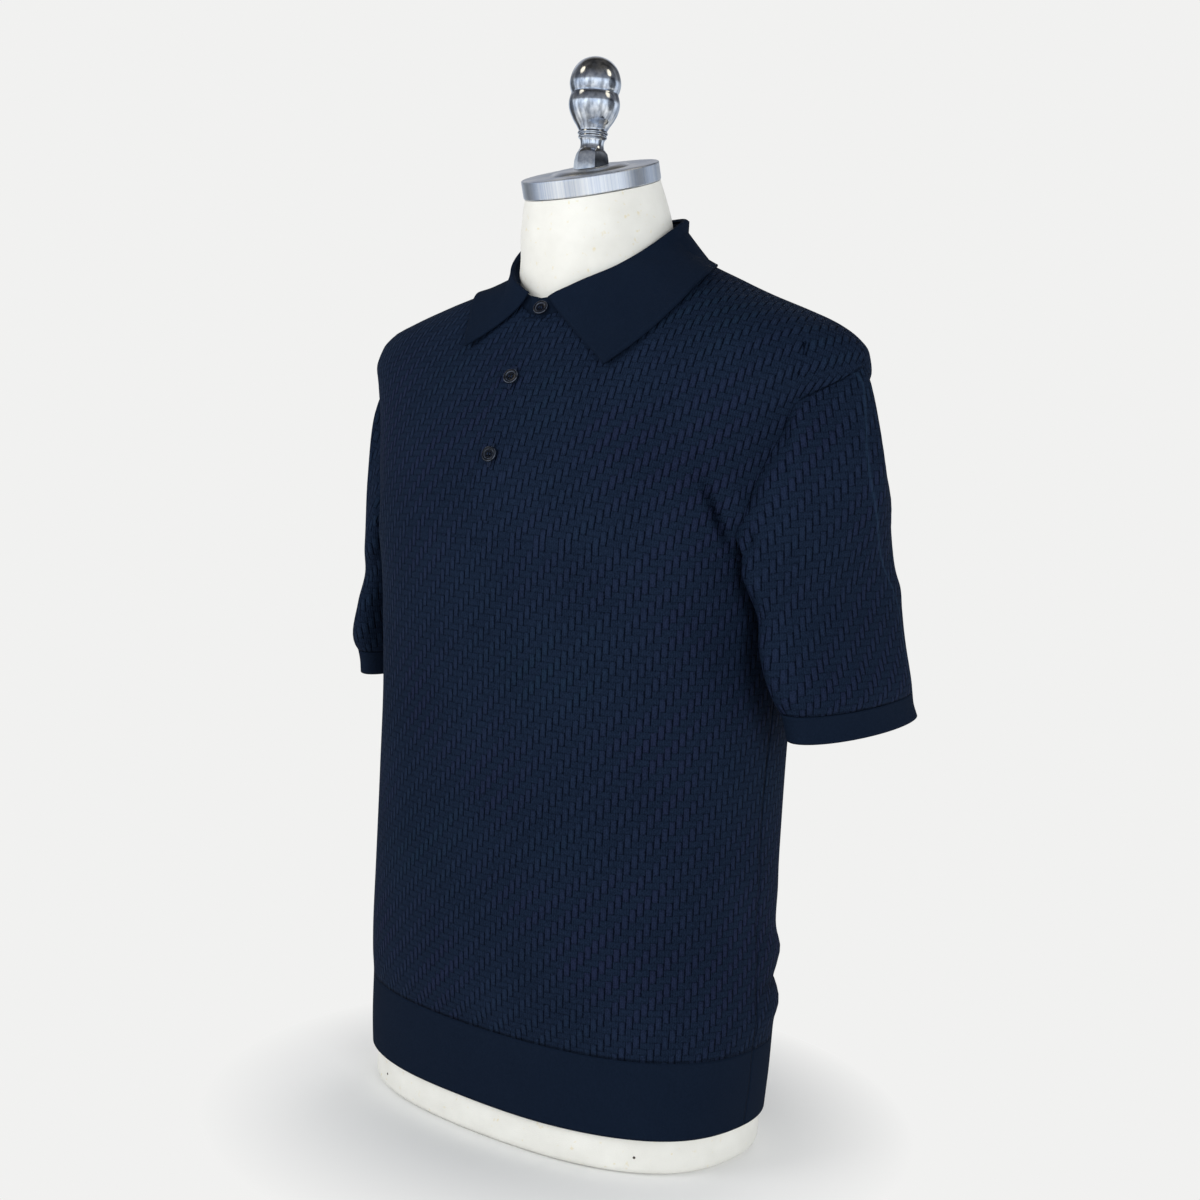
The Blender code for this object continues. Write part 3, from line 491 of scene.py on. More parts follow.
# The pressed line's colour is lighter than the yarn, a painted highlight along the crease's ridge.
PRESS_ZERO, PRESS_HIGHLIGHT_COLOUR = 50, (.018, .037, .07)
PLAIN_COLOUR, PLAIN_DARK = (.0063, .0118, .0252), (.0043, .0087, .0192)


def basket_knit():
    """Height of a float = hump across ^ 0.6 * hump along ^ 0.35; painted shade darkens the colour beside the upright
    floats, most on their right.
    """
    finish = Finish("basket_knit", KNIT_LIGHT, 0.8, specular=0.03)
    across, up, _ = finish.parts(finish.node("UVMap", {"uv_map": "cloth"}))
    u, v = across * (1 / STRIP_ACROSS) + 200, up * (1 / STRIP_UP) + 200
    along_up = (v - u.floor()) % 4 * 0.5
    along_level = ((u - v.floor()) % 4 - 1) * 0.5
    upright, crown_up = along_up < 1, along_up.hump() ** 0.35
    round_up, round_level = u.part().hump(), v.part().hump() ** 0.5
    float_level = round_level * 0.18 + along_level.hump() ** 0.35 * 0.42
    relief = float_level + upright * (round_up ** 0.6 * crown_up - float_level)
    wales = (u * (math.tau * 3)).cosine()
    # Painted shade: masks for the right and left side of each upright float; the right side is painted darker, as if
    # lit from the left.
    right, left = (1 - (1 - u.part()) * 3.4).clipped(), (1 - u.part() * 6).clipped()
    place = finish.place()
    cloudy, fuzz = finish.noise(place, 14, 3), finish.noise(place, 1000)
    # Painted shade: the colour darkens where the kept fold depth sinks below zero, in the crease troughs.
    seam, crease_shade = finish.mark("seam"), (finish.mark("fold") * -0.22).clipped()
    press = (1.05 - (finish.mark("press") - PRESS_ZERO).absolute() * 0.85).clipped()
    groove, ridge = (1 - seam * 0.55).clipped(), (seam * 0.4 - 0.4).clipped().hump()
    # Painted shade in the gaps: beside the upright floats, at their ends, and between the level rows.
    gap = upright * (right * 0.75 + left * 0.3 + (1 - crown_up) * 0.3) + (1 - upright) * (1 - round_level) * 0.22
    # The tone holds random mottle and fuzz, the wale lines, the seam groove, the painted shade of the gaps and
    # creases, and a painted highlight on the upright floats' crowns.
    tone = (cloudy * 0.4 + fuzz * 1.6 - 0.29 - wales * 0.08 - gap * (0.76 + cloudy * 0.68)
            + upright * round_up * 0.12 - groove * 0.12 - crease_shade * 0.9).clipped()
    hue = ((finish.noise(place, 9) - 0.35) * 3).clipped()
    # Level floats take the darker copy of the yarn, a painted shade; upright ones take the yarn with its random violet
    # tint.
    yarn = finish.mixed(upright, KNIT_LEVEL_SHADED, finish.mixed(hue, KNIT_VIOLET, KNIT_LIGHT))
    # Along the sleeve's pressed line the colour turns lighter, a painted highlight; the bump raises the same line.
    finish.feed("Base Color", finish.mixed(press * 0.4, finish.mixed(tone, KNIT_DARK, yarn), PRESS_HIGHLIGHT_COLOUR))
    finish.feed("Roughness", 0.92 - relief * 0.2)
    finish.bumped(relief - wales * 0.06 + fuzz * 0.22 - groove * 0.35 + ridge * 0.15 + press * 0.4, 0.0011)
    return finish.material


def plain_knit():
    """Fine wales: sine ridges 1.1 mm apart, crossed by courses 0.9 mm apart, with a raised edge that is also painted
    lighter, a painted highlight.
    """
    finish = Finish("plain_knit", PLAIN_COLOUR, 0.88, specular=0.04)
    across, up, _ = finish.parts(finish.node("UVMap", {"uv_map": "cloth"}))
    wales, courses = (across * (math.tau / WALE)).sine(), (up * (math.tau / COURSE)).sine()
    place = finish.place()
    cloudy, fuzz, grain = (finish.noise(place, *size) for size in ((22, 3), (3000, 1), (620, 2)))
    edge = ((finish.mark("seam") - 1) * 0.5).clipped().hump()
    # The raised edge also lifts the tone, a painted highlight.
    tone = (cloudy * 0.5 + grain * 1.6 - 0.45 + wales * 0.05 + edge * 0.1).clipped()
    finish.feed("Base Color", finish.mixed(tone, PLAIN_DARK, PLAIN_COLOUR))
    finish.bumped(wales * 0.25 + courses * 0.15 + fuzz * 0.4 + grain * 0.6 + edge * 0.5, 0.0003)
    return finish.material


KNITS = {"basket_knit": (basket_knit(), KNIT_THICK), "plain_knit": (plain_knit(), PLAIN_THICK)}
print("nodes:", {slot: len(material.node_tree.nodes) for slot, (material, _) in KNITS.items()})

# %% [markdown]
# The body is a front and a back that meet at the side seams and on the shoulders. Below the
# armpit the rows are level. Above it a Coons blend fills the space between four edges: the
# level row, the centre line, the armhole, and the neckline with the shoulder seam.

# %% The armhole and the neckline
HEM_HEIGHT, BAND_TOP, ARMPIT, ARMHOLE_WIDEST, SHOULDER_TIP = 28, 86.5, 451, 490, 591
ARMHOLE_FRONT, ARMHOLE_BACK, ARMHOLE_ROUNDNESS = 59, 60, (2.8, 1.95)
ARMHOLE_SHARE = Table(
    "height share", (451, 1), (466, 1.12), (480, 1.03), (500, .96), (522, .92), (541, .907), (554, .99), (565, 1.09),
    (569, 1.03), (575, .88), (584, .68), (591, .55))
NECK_HALF_WIDTH, NECK_CENTRE, NECK_FRONT, NECK_BACK = 77, 4, 81, 54
NECK_LOWEST, NECK_HIGHEST, HALVINGS = 600, 684, 40


def halved(low, high, holds_at):
    """The place between two bounds where a rule stops holding: the bounds close in on it by halving."""
    for _ in range(HALVINGS):
        middle = (low + high) / 2
        holds = holds_at(middle)
        low, high = np.where(holds, middle, low), np.where(holds, high, middle)
    return (low + high) / 2


def in_section(x, y, height):
    """A point's place in the level section, as shares of its half width and of its depth to the front."""
    side = TORSO.at("side", height)
    depth = np.where(side > y, side - TORSO.at("front", height), TORSO.at("back", height) - side)
    return x / TORSO.at("half_width", height), (side - y) / depth


def section_angle(reach, height, sign):
    """Angle at which a section is this far from its side seam along Y."""
    side = TORSO.at("side", height)
    return halved(0, QUARTER_TURN, lambda angle: np.abs(
        torso(angle if sign > 0 else math.pi - angle, height)[..., 1] - side) > reach)


def armhole(t, grown=0.0):
    """Half of a superellipse from the armpit up: its heights, and its reach scaled by a table of heights."""
    low_half = t < 0.5
    power = 2 / np.where(low_half, *ARMHOLE_ROUNDNESS)
    rise = np.where(low_half, ARMPIT - ARMHOLE_WIDEST - grown, SHOULDER_TIP - ARMHOLE_WIDEST + grown)
    height = ARMHOLE_WIDEST + rise * np.abs(np.cos(math.pi * t)) ** power
    return height, np.maximum(np.sin(math.pi * t), 0) ** power * ARMHOLE_SHARE.at("share", height)


def neckline(angle):
    """Where an oval seen from above meets the body: its angle round the body and its height."""
    x = NECK_HALF_WIDTH * np.abs(np.sin(angle))
    y = NECK_CENTRE - np.where(np.cos(angle) > 0, NECK_FRONT, NECK_BACK) * np.cos(angle)
    height = halved(NECK_LOWEST, NECK_HIGHEST, lambda z: np.hypot(*in_section(x, y, z)) < 1)
    return np.arctan2(*in_section(x, y, height)) * np.where(np.sin(angle) < 0, -1, 1), height


NECK_CORNER = halved(math.radians(60), math.radians(130), lambda angle: neckline(angle)[0] < QUARTER_TURN)
print("the neckline meets the shoulder seam at a plan angle of", round(math.degrees(NECK_CORNER), 1), "degrees")


# %% Front and back
SIDE_TURN = QUARTER_TURN - 0.0012


def half_panel(sign, columns=70, low_rows=76, high_rows=84, neck_columns=50):
    """Angles and heights from the centre line to the side: level rows, then the Coons blend with weights s and t^2."""
    s, t = np.linspace(0, 1, columns + 1), np.linspace(0, 1, high_rows + 1)
    hole_height, curve = armhole(t)
    reach = curve * (ARMHOLE_FRONT if sign > 0 else ARMHOLE_BACK)
    hole_turn = np.minimum(section_angle(reach, hole_height, sign), SIDE_TURN)
    neck_turn, neck_height = neckline(np.linspace(0 if sign > 0 else math.pi, NECK_CORNER, neck_columns + 1))
    if sign < 0:
        neck_turn = math.pi - neck_turn
    run = np.linspace(0, 1, columns - neck_columns + 1)[1:]
    top_turn = np.append(np.minimum(neck_turn, SIDE_TURN), 0 * run + SIDE_TURN)
    top_turn[neck_columns] = SIDE_TURN
    top_height = np.append(neck_height, between(neck_height[-1], SHOULDER_TIP, run ** 0.9))

    def blend(bottom, top, centre, side):
        """The mix of bottom and top, plus that of the sides, less that of the corners."""
        w = (t ** 2)[:, None]
        return (between(bottom, top, w) + between(centre[:, None], side[:, None], s)
                - between(between(bottom[0], bottom[-1], s), between(top[0], top[-1], s), w))

    centre_height = hole_height + (top_height[0] - SHOULDER_TIP) * t ** 2.5
    high_turn = blend(s * SIDE_TURN, top_turn, 0 * t, hole_turn)
    high_height = blend(0 * s + ARMPIT, top_height, centre_height, hole_height)
    low_turn, low_height = np.meshgrid(s * SIDE_TURN, np.linspace(BAND_TOP + 0.2, ARMPIT, low_rows + 1))
    return np.concatenate([low_turn, high_turn[1:]]), np.concatenate([low_height, high_height[1:]])


def panel(name, sign):
    """Two mirrored halves joined at the centre, laid on the body and then laid flat for the knit."""
    turn, height = half_panel(sign)
    turn = np.concatenate([-turn[:, :0:-1], turn], axis=1) + (0 if sign > 0 else math.pi)
    height = np.concatenate([height[:, :0:-1], height], axis=1)
    points = on_body(turn, height)
    flat = laid_flat(points)
    # The fold depth is kept on the points for the knit's painted shade in the creases.
    cloth(name, points, flat, "basket_knit", marks={"fold": fold_lift(turn, height)})
    return points, flat


front_points, front_flat = panel("front", 1)
panel("back", -1)

# %% [markdown]
# The hem band is a plain, finer knit, drawn in a little, so that the body swells over it. The
# same arcs serve: level rows between two heights, front and back.

# %% Hem bands
def hem(name, sign):
    """Rows of the body between the hem and the band's top, with low waves that fade upwards."""
    turn, height = np.meshgrid(np.linspace(-SIDE_TURN, SIDE_TURN, 121) + (0 if sign > 0 else math.pi),
                               np.linspace(HEM_HEIGHT, BAND_TOP, 25))
    wave = 0.5 * np.sin(turn * 5 + 0.6) + 0.3 * np.sin(turn * 9 - height / 30)
    points = on_body(turn, height, wave * np.clip((BAND_TOP - height) / 40, 0, 1) * 0.6)
    cloth(name, points, strip_flat(points), "plain_knit")


hem("hem_front", 1)
hem("hem_back", -1)

# %% [markdown]
# The buttonhole band lies on the front. It is made from the front's own surface, moved out by
# its thickness, and its knit continues the front's, so its right edge hardly shows.

# %% Placket
PLACKET_HALF_WIDTH, PLACKET_BOTTOM, PLACKET_TOP, PLACKET_LIFT = 14, 468, 620, 0.5


def placket():
    """Points of the front near its centre, from flush at one edge to a cloth's thickness at the free one."""
    height, across = np.meshgrid(np.linspace(PLACKET_BOTTOM, PLACKET_TOP, 77),
                                 np.linspace(-PLACKET_HALF_WIDTH, PLACKET_HALF_WIDTH, 29), indexing="ij")
    turn = np.arcsin(across / TORSO.at("half_width", height))
    share = 0.5 - across / PLACKET_HALF_WIDTH / 2
    low_end = np.clip((height - PLACKET_BOTTOM) / 16, 0, 1)
    free = 0.12 + 1.25 * share ** 0.8 * low_end - 0.3 * share ** 12
    points = on_body(turn, height, free + 0.2 * np.sin(height / 11) * share ** 3 * low_end)
    middle = front_points.shape[1] // 2
    up = np.interp(height, front_points[:, middle, 2], front_flat[:, middle, 1])
    cloth("placket", points, np.stack([across, up], axis=-1), "basket_knit",
          marks={"seam": PLACKET_HALF_WIDTH + across + 0.9})


placket()

# %% [markdown]
# A sleeve starts on the armhole's curve, leaves the body along its normals, and hangs down to
# a rounded, flattened ring. Rings between these stations come from a smooth cubic.

# %% Sleeves and cuffs
SEAM, UNDERLAP, AROUND = 0.35, 1.4, 120
RING_COLUMNS = "height x y half_length half_thickness turn rise"
SLEEVE = Table(
    RING_COLUMNS, (438, 208.5, 6.5, 68.5, 24, 21, .03), (416, 212.5, 14.3, 65.5, 24.5, 18.5, .055),
    (392, 216, 16, 68.5, 25, 16, .08), (357.5, 222.5, 25.5, 67, 28, 11.5, .12), (352.5, 223, 29, 66, 27, 11, .12))
CUFF = Table(
    RING_COLUMNS, (352, 223, 29.2, 66, 27, 11, .12), (343, 224, 32, 65.2, 26.4, 11, .12),
    (333, 225.5, 35.5, 65.5, 27, 11, .13))
SLEEVE_START_OUT, SLEEVE_START_DOWN, SLEEVE_CLEAR = (8.5, 4.6), (4.5, 10), 2.6
SWELL_TURN, SWELL_OUT, LEAN_OUT, LEAN_SPAN = math.radians(215), 13, 2, 0.2
PRESSED = Table(
    "share turn", (0, 162), (.04, 165), (.25, 174), (.31, 183), (.4, 207), (.48, 229), (.62, 234), (.95, 232))
SLEEVE_CREASES = Table(
    "turn row half_turn half_rows lift lean", (172, .62, 3.2, .34, 1, 0), (62, .4, 9, .16, -1.3, 34),
    (92, .34, 13, .15, 1.2, 26), (300, .4, 10, .18, -1.2, -30), (268, .46, 14, .2, 1, -22),
    (120, .74, 16, .2, .8, 10), (222, .8, 18, .18, .7, -8))


def angles(count):
    """Angles of a full turn, evenly spaced."""
    return np.arange(count) * math.tau / count


def sleeve_ring(ring, t):
    """A level oval turned about the vertical and tipped to the back; t runs from the underarm over the front."""
    long_way, out_way = turned(*np.eye(2)[::-1], math.radians(ring["turn"]))
    flat = (np.array([ring["x"], ring["y"]]) - ring["half_thickness"] * np.cos(t)[:, None] * out_way
            - ring["half_length"] * np.sin(t)[:, None] * long_way)
    return np.column_stack([flat, ring["height"] + ring["rise"] * (flat[:, 1] - ring["y"])])


def armhole_ring(t):
    """The sleeve's first ring: the armhole, a little larger and tucked just under the body's edge."""
    height, curve = armhole(np.abs((t + math.pi) % math.tau - math.pi) / math.pi, UNDERLAP)
    front = section_angle(curve * (ARMHOLE_FRONT + UNDERLAP), height, 1)
    back = math.pi - section_angle(curve * (ARMHOLE_BACK + UNDERLAP), height, -1)
    turn = np.where(np.sin(t) >= 0, front, back)
    return on_body(turn, height, -KNIT_THICK * 0.6), torso_normal(turn, height)


def through_stations(stations, steps):
    """Rows through rings of points: a cubic between each two, its slopes by distance."""
    gaps = np.linalg.norm(np.diff(stations, axis=0), axis=2).mean(axis=1)
    slopes = np.gradient(stations, np.append(0, np.cumsum(gaps)), axis=0)
    rows = [stations[:1]]
    for k, count in enumerate(steps):
        t = (np.arange(1, count + 1) / count)[:, None, None]
        rows.append(cubic(*stations[k:k + 2], *slopes[k:k + 2], gaps[k], t))
    return np.concatenate(rows)


def body_level(points):
    """Zero on the body's surface and growing outwards: the oval's own radius, less one."""
    x, y, z = np.moveaxis(points, -1, 0)
    across, fore = in_section(x - TORSO.at("middle", z), y, z)
    return np.hypot(across, fore) / (1 + TORSO.at("square", z) * np.sin(2 * np.arctan2(across, fore)) ** 2) - 1


def push_off_body(points, clear):
    """Points moved along the level's gradient until they are this far off the body."""
    for _ in range(5):
        slopes = [body_level(points + axis) - body_level(points - axis) for axis in np.eye(3) / 2]
        gradient = np.stack(slopes, axis=-1)
        steepness = np.maximum(np.linalg.norm(gradient, axis=-1, keepdims=True), 1e-6)
        points = points + gradient / steepness * np.maximum(clear - body_level(points)[..., None] / steepness, 0)
    return points


def sleeve_creases(rows, t):
    """Soft ridges and troughs on the sleeve, by the angle round it and the share of its length."""
    total = np.zeros((rows, len(t)))
    for crease in SLEEVE_CREASES:
        down = np.linspace(0, 1, rows)[:, None] - crease["row"]
        aside = np.degrees(t) - crease["turn"] - crease["lean"] * down / LEAN_SPAN
        total += crease["lift"] * np.exp(-(aside / crease["half_turn"]) ** 2 - (down / crease["half_rows"]) ** 2)
    return total


def sleeve_grid(t, fine=4):
    """Rings of the left sleeve, from the armhole to the cuff."""
    start, normals = armhole_ring(t)
    top = ((1 - np.cos(t)) / 2)[:, None]
    second = start + normals * between(*SLEEVE_START_OUT, top) - between(*SLEEVE_START_DOWN, top) * (0, 0, 1)
    rings = [sleeve_ring(ring, t) for ring in SLEEVE]
    full = np.maximum(np.cos(t - SWELL_TURN), 0) ** 1.5
    lean = np.maximum(np.cos(t - SWELL_TURN + QUARTER_TURN), 0) ** 2
    cap = (second + rings[0]) / 2 + normals * (1, 1, 0) * (SWELL_OUT * full + LEAN_OUT * lean)[:, None]
    grid = through_stations(np.array([start, second, cap, *rings]), [2 * fine] * 6 + [fine])
    turn = np.arctan2(grid[..., 0], TORSO.at("side", grid[..., 2]) - grid[..., 1])
    pushed = push_off_body(grid, SLEEVE_CLEAR + fold_lift(turn, grid[..., 2], (FOLDS,))[..., None])
    hangs = (grid[..., 2] < ARMPIT + 12) & (np.arange(len(grid)) > 2 * fine)[:, None]
    grid = np.where(hangs[..., None], pushed, grid)
    ring_way = np.roll(grid, -1, axis=1) - np.roll(grid, 1, axis=1)
    normals = unit(np.cross(ring_way, np.gradient(grid, axis=0)))
    outwards = np.sign(((grid - grid.mean(axis=1, keepdims=True)) * normals).sum())
    return grid + normals * outwards * sleeve_creases(len(grid), t)[..., None]


def closed_flat(grid, method, *options):
    """A ring's flat coordinates, its first column repeated at the end and its rows laid from the lower edge up."""
    return method(np.concatenate([grid, grid[:, :1]], axis=1)[::-1], *options)[::-1]


sleeve = sleeve_grid(angles(AROUND))
sleeve_flat = closed_flat(sleeve, laid_flat, (12, 6, 3, 1), (400, 300, 200, 60))
# The pressed line's place round the sleeve, for its raised bump and its painted highlight.
pressed = np.degrees(angles(AROUND)) - PRESSED.at("turn", np.linspace(0, 1, len(sleeve)))[:, None]
press = {"press": np.clip(PRESS_ZERO + pressed * 0.5, 1, 99)}
cuff = through_stations(np.array([sleeve_ring(ring, angles(AROUND)) for ring in CUFF]), (7, 7))
cuff_flat = closed_flat(cuff, strip_flat)
for side, sign in (("left", 1), ("right", -1)):
    for name, grid, flat, slot, rests_on, marks in (
            ("sleeve_", sleeve, sleeve_flat, "basket_knit", ("front_cloth", "back_cloth"), press),
            ("cuff_", cuff, cuff_flat, "plain_knit", ("sleeve_" + side + "_cloth",), None)):
        grid = grid * (sign, 1, 1)
        cloth(name + side, grid, flat * (sign, 1), slot, True, grid.mean(axis=1, keepdims=True),
              marks=marks)

# %% [markdown]
# A collar has two parts: a stand that rises from the neckline, and a fall that rolls over the
# stand's top and lies on the shoulders. Its edge comes from a table, because the two points
# lie unevenly, as they do on a worn shirt. The fall is pushed straight off the body wherever
# it would cut in.

# %% Collar stand and fall
FOLD_LINE = Table(
    "turn height", (0, 635.5), (12, 638), (30, 646.5), (46, 655), (60, 665), (75, 677), (92, 690), (115, 701),
    (145, 707), (180, 709))
FOLD_HALF_WIDTH, FOLD_CENTRE, FOLD_FRONT, FOLD_BACK = 64, -8, 66, 58
COLLAR_EDGE = Table(
    "turn x y z", (10, 79, -98, 585), (28, 95, -87, 600), (46, 108, -71, 619), (62, 115, -50, 640),
    (78, 114, -25, 657), (90, 106.5, -6.5, 663.5), (106, 92, 17, 667), (122, 77, 37.5, 668), (145, 53, 57, 666),
    (180, 0, 70, 664), (215, -55, 60, 667), (242, -85, 36, 669), (264, -97, 4, 654), (282, -94, -24, 644),
    (298, -84, -48, 632), (315, -74, -69.5, 621), (332, -67, -84, 612), (350, -58, -95, 599))
COLLAR_BOW = Table(
    "turn bow", (0, 1.12), (40, 1.1), (70, 1.3), (90, 1.8), (106, 2.3), (150, 2.3), (180, 2.1), (210, 2.3),
    (240, 2.2), (265, 2.1), (300, 2), (325, 1.6), (347, 1.5))
COLLAR_ROLL, COLLAR_CLEAR, STAND_OUT = 2.6, 0.7, 0.8
FALL_START, FALL_END, FALL_ENDS_OUT, END_DROOP, LAP = 5.5, 346.5, 35, 2.6, 2.1


def fold_line(angle):
    """The line over which the collar folds: an oval seen from above, its height from a table."""
    depth = np.where(np.cos(angle) > 0, FOLD_FRONT, FOLD_BACK)
    height = FOLD_LINE.at("height", np.degrees(np.arccos(np.cos(angle))))
    return np.stack([FOLD_HALF_WIDTH * np.sin(angle), FOLD_CENTRE - depth * np.cos(angle), height], axis=-1)


def round_out(angle):
    """Level unit vectors away from the neck's middle."""
    return np.stack([np.sin(angle), -np.cos(angle), 0 * angle], axis=-1)


def collar_stand():
    """Straight from the neckline up to the fold line, one end lapped under the other at the front."""
    angle = np.radians(np.linspace(-10.5, 368, 153))
    low, high = torso(*neckline(angle)), fold_line(angle)
    lap = LAP * np.clip((np.degrees(angle) - 334) / 14, 0, 1)
    t = np.linspace(0, 1, 13)[:, None, None]
    grid = between(low - unit(high - low) * 1.5, high, t) + round_out(angle) * (STAND_OUT - lap)[:, None]
    cloth("collar_stand", grid, strip_flat(grid), "plain_knit")


def collar_fall():
    """A roll over the stand, then lines to the edge that bow out at the back, kept off the body."""
    degrees = np.linspace(FALL_START, FALL_END, 181)
    at_edge = np.interp(degrees, (FALL_START, 40, 300, FALL_END), (10, 40, 300, 350))
    edge = np.stack([COLLAR_EDGE.at(axis, at_edge) for axis in "xyz"], axis=-1)
    droop = END_DROOP * np.clip((16 - degrees) / 10.5, 0, 1) ** 2
    angle, up = np.radians(degrees), np.array([0, 0, 1])
    out, rise = round_out(angle), (SEAM + PLAIN_THICK * 0.55 - droop)[:, None]
    crest = fold_line(angle) + out * (STAND_OUT - PLAIN_THICK * 0.5) + up * rise
    near_end = np.clip(np.minimum(degrees - FALL_START, FALL_END - degrees) / FALL_ENDS_OUT, 0, 1)
    roll = (PLAIN_THICK + 0.1 + (COLLAR_ROLL - PLAIN_THICK) * near_end)[:, None]
    bow = COLLAR_BOW.at("bow", degrees)[:, None]
    rows = [crest + out * roll * (1 - math.cos(bend)) + up * roll * math.sin(bend)
            for bend in np.radians(np.linspace(0, 120, 9))]
    start = rows[-1]
    for t in np.linspace(0, 1, 31)[1:]:
        share = t ** bow * (1, 1, 0) + t * up
        rows.append(push_off_body(between(start, edge, share), COLLAR_CLEAR + PLAIN_THICK))
    grid = np.array(rows)
    cloth("collar", grid, strip_flat(grid), "plain_knit")


collar_stand()
collar_fall()

# %% [markdown]
# Turned pieces are an outline swung round an axis. The grid makes that directly: one row per
# point of the outline, one column per angle. The rows at the poles shrink to a point, and
# their doubled corners are then merged so that the skin is closed.

# %% Turned pieces
def merged(piece):
    """The same mesh with corners that share a place merged, which closes its poles."""
    work = bmesh.new()
    work.from_mesh(piece.data)
    bmesh.ops.remove_doubles(work, verts=work.verts, dist=1e-6)
    work.to_mesh(piece.data)
    work.free()
    piece.data.update()
    return piece


def joined(name, pieces):
    """Several mesh objects made into one."""
    with bpy.context.temp_override(active_object=pieces[0], selected_editable_objects=pieces, object=pieces[0]):
        bpy.ops.object.join()
    pieces[0].name = name
    return pieces[0]


def axes_of(axis):
    """A unit vector along an axis, and two square to it and to each other."""
    axis = unit(np.asarray(axis, float))
    across = unit(np.cross(axis, np.eye(3)[0 if abs(axis[0]) < 0.9 else 1]))
    return axis, across, np.cross(axis, across)


def swung(outline, centre, axis, columns):
    """Grid of points: centre + axis * height + (cos a, sin a) * radius for every outline point and angle."""
    axis, across, third = axes_of(axis)
    height, radius = np.asarray(outline, float).T[:, :, None, None]
    angle = angles(columns)[:, None]
    return np.asarray(centre) + height * axis + radius * (np.cos(angle) * across + np.sin(angle) * third)


def rounded(points, per_step):
    """A finer outline through a few points: the cubic of the sleeve rings, on a line."""
    return through_stations(np.array(points, float)[:, None, :], [per_step] * (len(points) - 1))[:, 0]


def solid(name, grid, material, slot, node, sharp, marks=None):
    """A closed ring grid as a finished piece that stands for a solid."""
    made = merged(surface(name, grid, True, grid.reshape(-1, 3).mean(axis=0), marks=marks, sharp=sharp))
    dress(made, material, slot, node)
    print(name, "squares:", len(made.data.polygons))


# %% [markdown]
# The buttons are dark, glossy and nearly black, with a raised rim and four holes. The holes
# are pressed into the top as four smooth pits. A few turns of thread cross between them.

# %% Buttons
BUTTON_RADIUS, BUTTON_HEIGHTS, BUTTON_TILT, TOP_BUTTON_RISE = 5.95, (626, 573.3, 515.8), 0.22, 2.9
BUTTON_TOP, TOP_FROM, RIM_RING, INNER_RING = 1.45, 1.3, 0.93, 0.64
HOLE_SPREAD, HOLE_RADIUS, HOLE_DEPTH, HOLE_REACH = 1.45, 0.72, 1.1, 1.6
BUTTON_OUTLINE = ((0, 0), (.02, .55), (.35, .86), (1.1, 1), (1.8, .97), (2.3, .86), (2.25, .74), (1.55, .62),
                  (BUTTON_TOP, .5))
THREAD_SHIFT, THREAD_RADIUS, THREAD_ARCH, THREAD_DIP = 0.22, 0.2, 1.75, 1.5
# The palest resin colour is a painted glint for the rim.
RESIN_BLACK, RESIN_DARK, RESIN_RIM_GLINT = (.0008, .0014, .003), (.006, .008, .014), (.115, .135, .185)
THREAD_DARK, THREAD_COLOUR, THREAD_LIGHT = (.006, .011, .026), (.012, .02, .046), (.026, .04, .078)


def button_finish():
    """Dark resin: a slow cloud between two near blacks, with a painted glint in pale patches along the raised rim, and
    a clear gloss.
    """
    finish = Finish("button_resin", RESIN_DARK, 0.07, specular=0.28)
    place = finish.place()
    cloudy = finish.mixed(finish.noise(place, 420, 3), RESIN_BLACK, RESIN_DARK)
    # Painted glint: a paler colour in patches along the rim's rings.
    edge = (finish.mark("rim") * ((finish.noise(place, 330, 1) - 0.36) * 4).clipped()).clipped()
    finish.feed("Base Color", finish.mixed(edge, cloudy, RESIN_RIM_GLINT))
    finish.bumped(finish.noise(place, 900), 0.00004)
    return finish.material


def thread_finish():
    """Twisted thread: fine ridges, a little lighter than the knit."""
    finish = Finish("thread", THREAD_COLOUR, 0.7, specular=0.1)
    twist = finish.noise(finish.place(), 5200, 1)
    finish.feed("Base Color", finish.mixed(twist, THREAD_DARK, THREAD_LIGHT))
    finish.bumped(twist, 0.0002)
    return finish.material


RESIN, THREAD = button_finish(), thread_finish()


def tube(path, radius, columns=8, closed=False, ripple=0.0, waves=0):
    """Rings square to a path: centre + cos(a) * side + sin(a) * lift, the radius rippled along it."""
    along = unit(np.roll(path, -1, axis=0) - np.roll(path, 1, axis=0) if closed else np.gradient(path, axis=0))
    lift = unit(BAND_NORMAL - along * (along @ BAND_NORMAL)[:, None])
    side, angle = np.cross(along, lift), angles(columns)[:, None]
    width = radius * (1 + ripple * np.sin(np.linspace(0, math.tau * waves, len(path), endpoint=not closed)))
    return path[:, None] + (np.cos(angle) * side[:, None] + np.sin(angle) * lift[:, None]) * width[:, None, None]


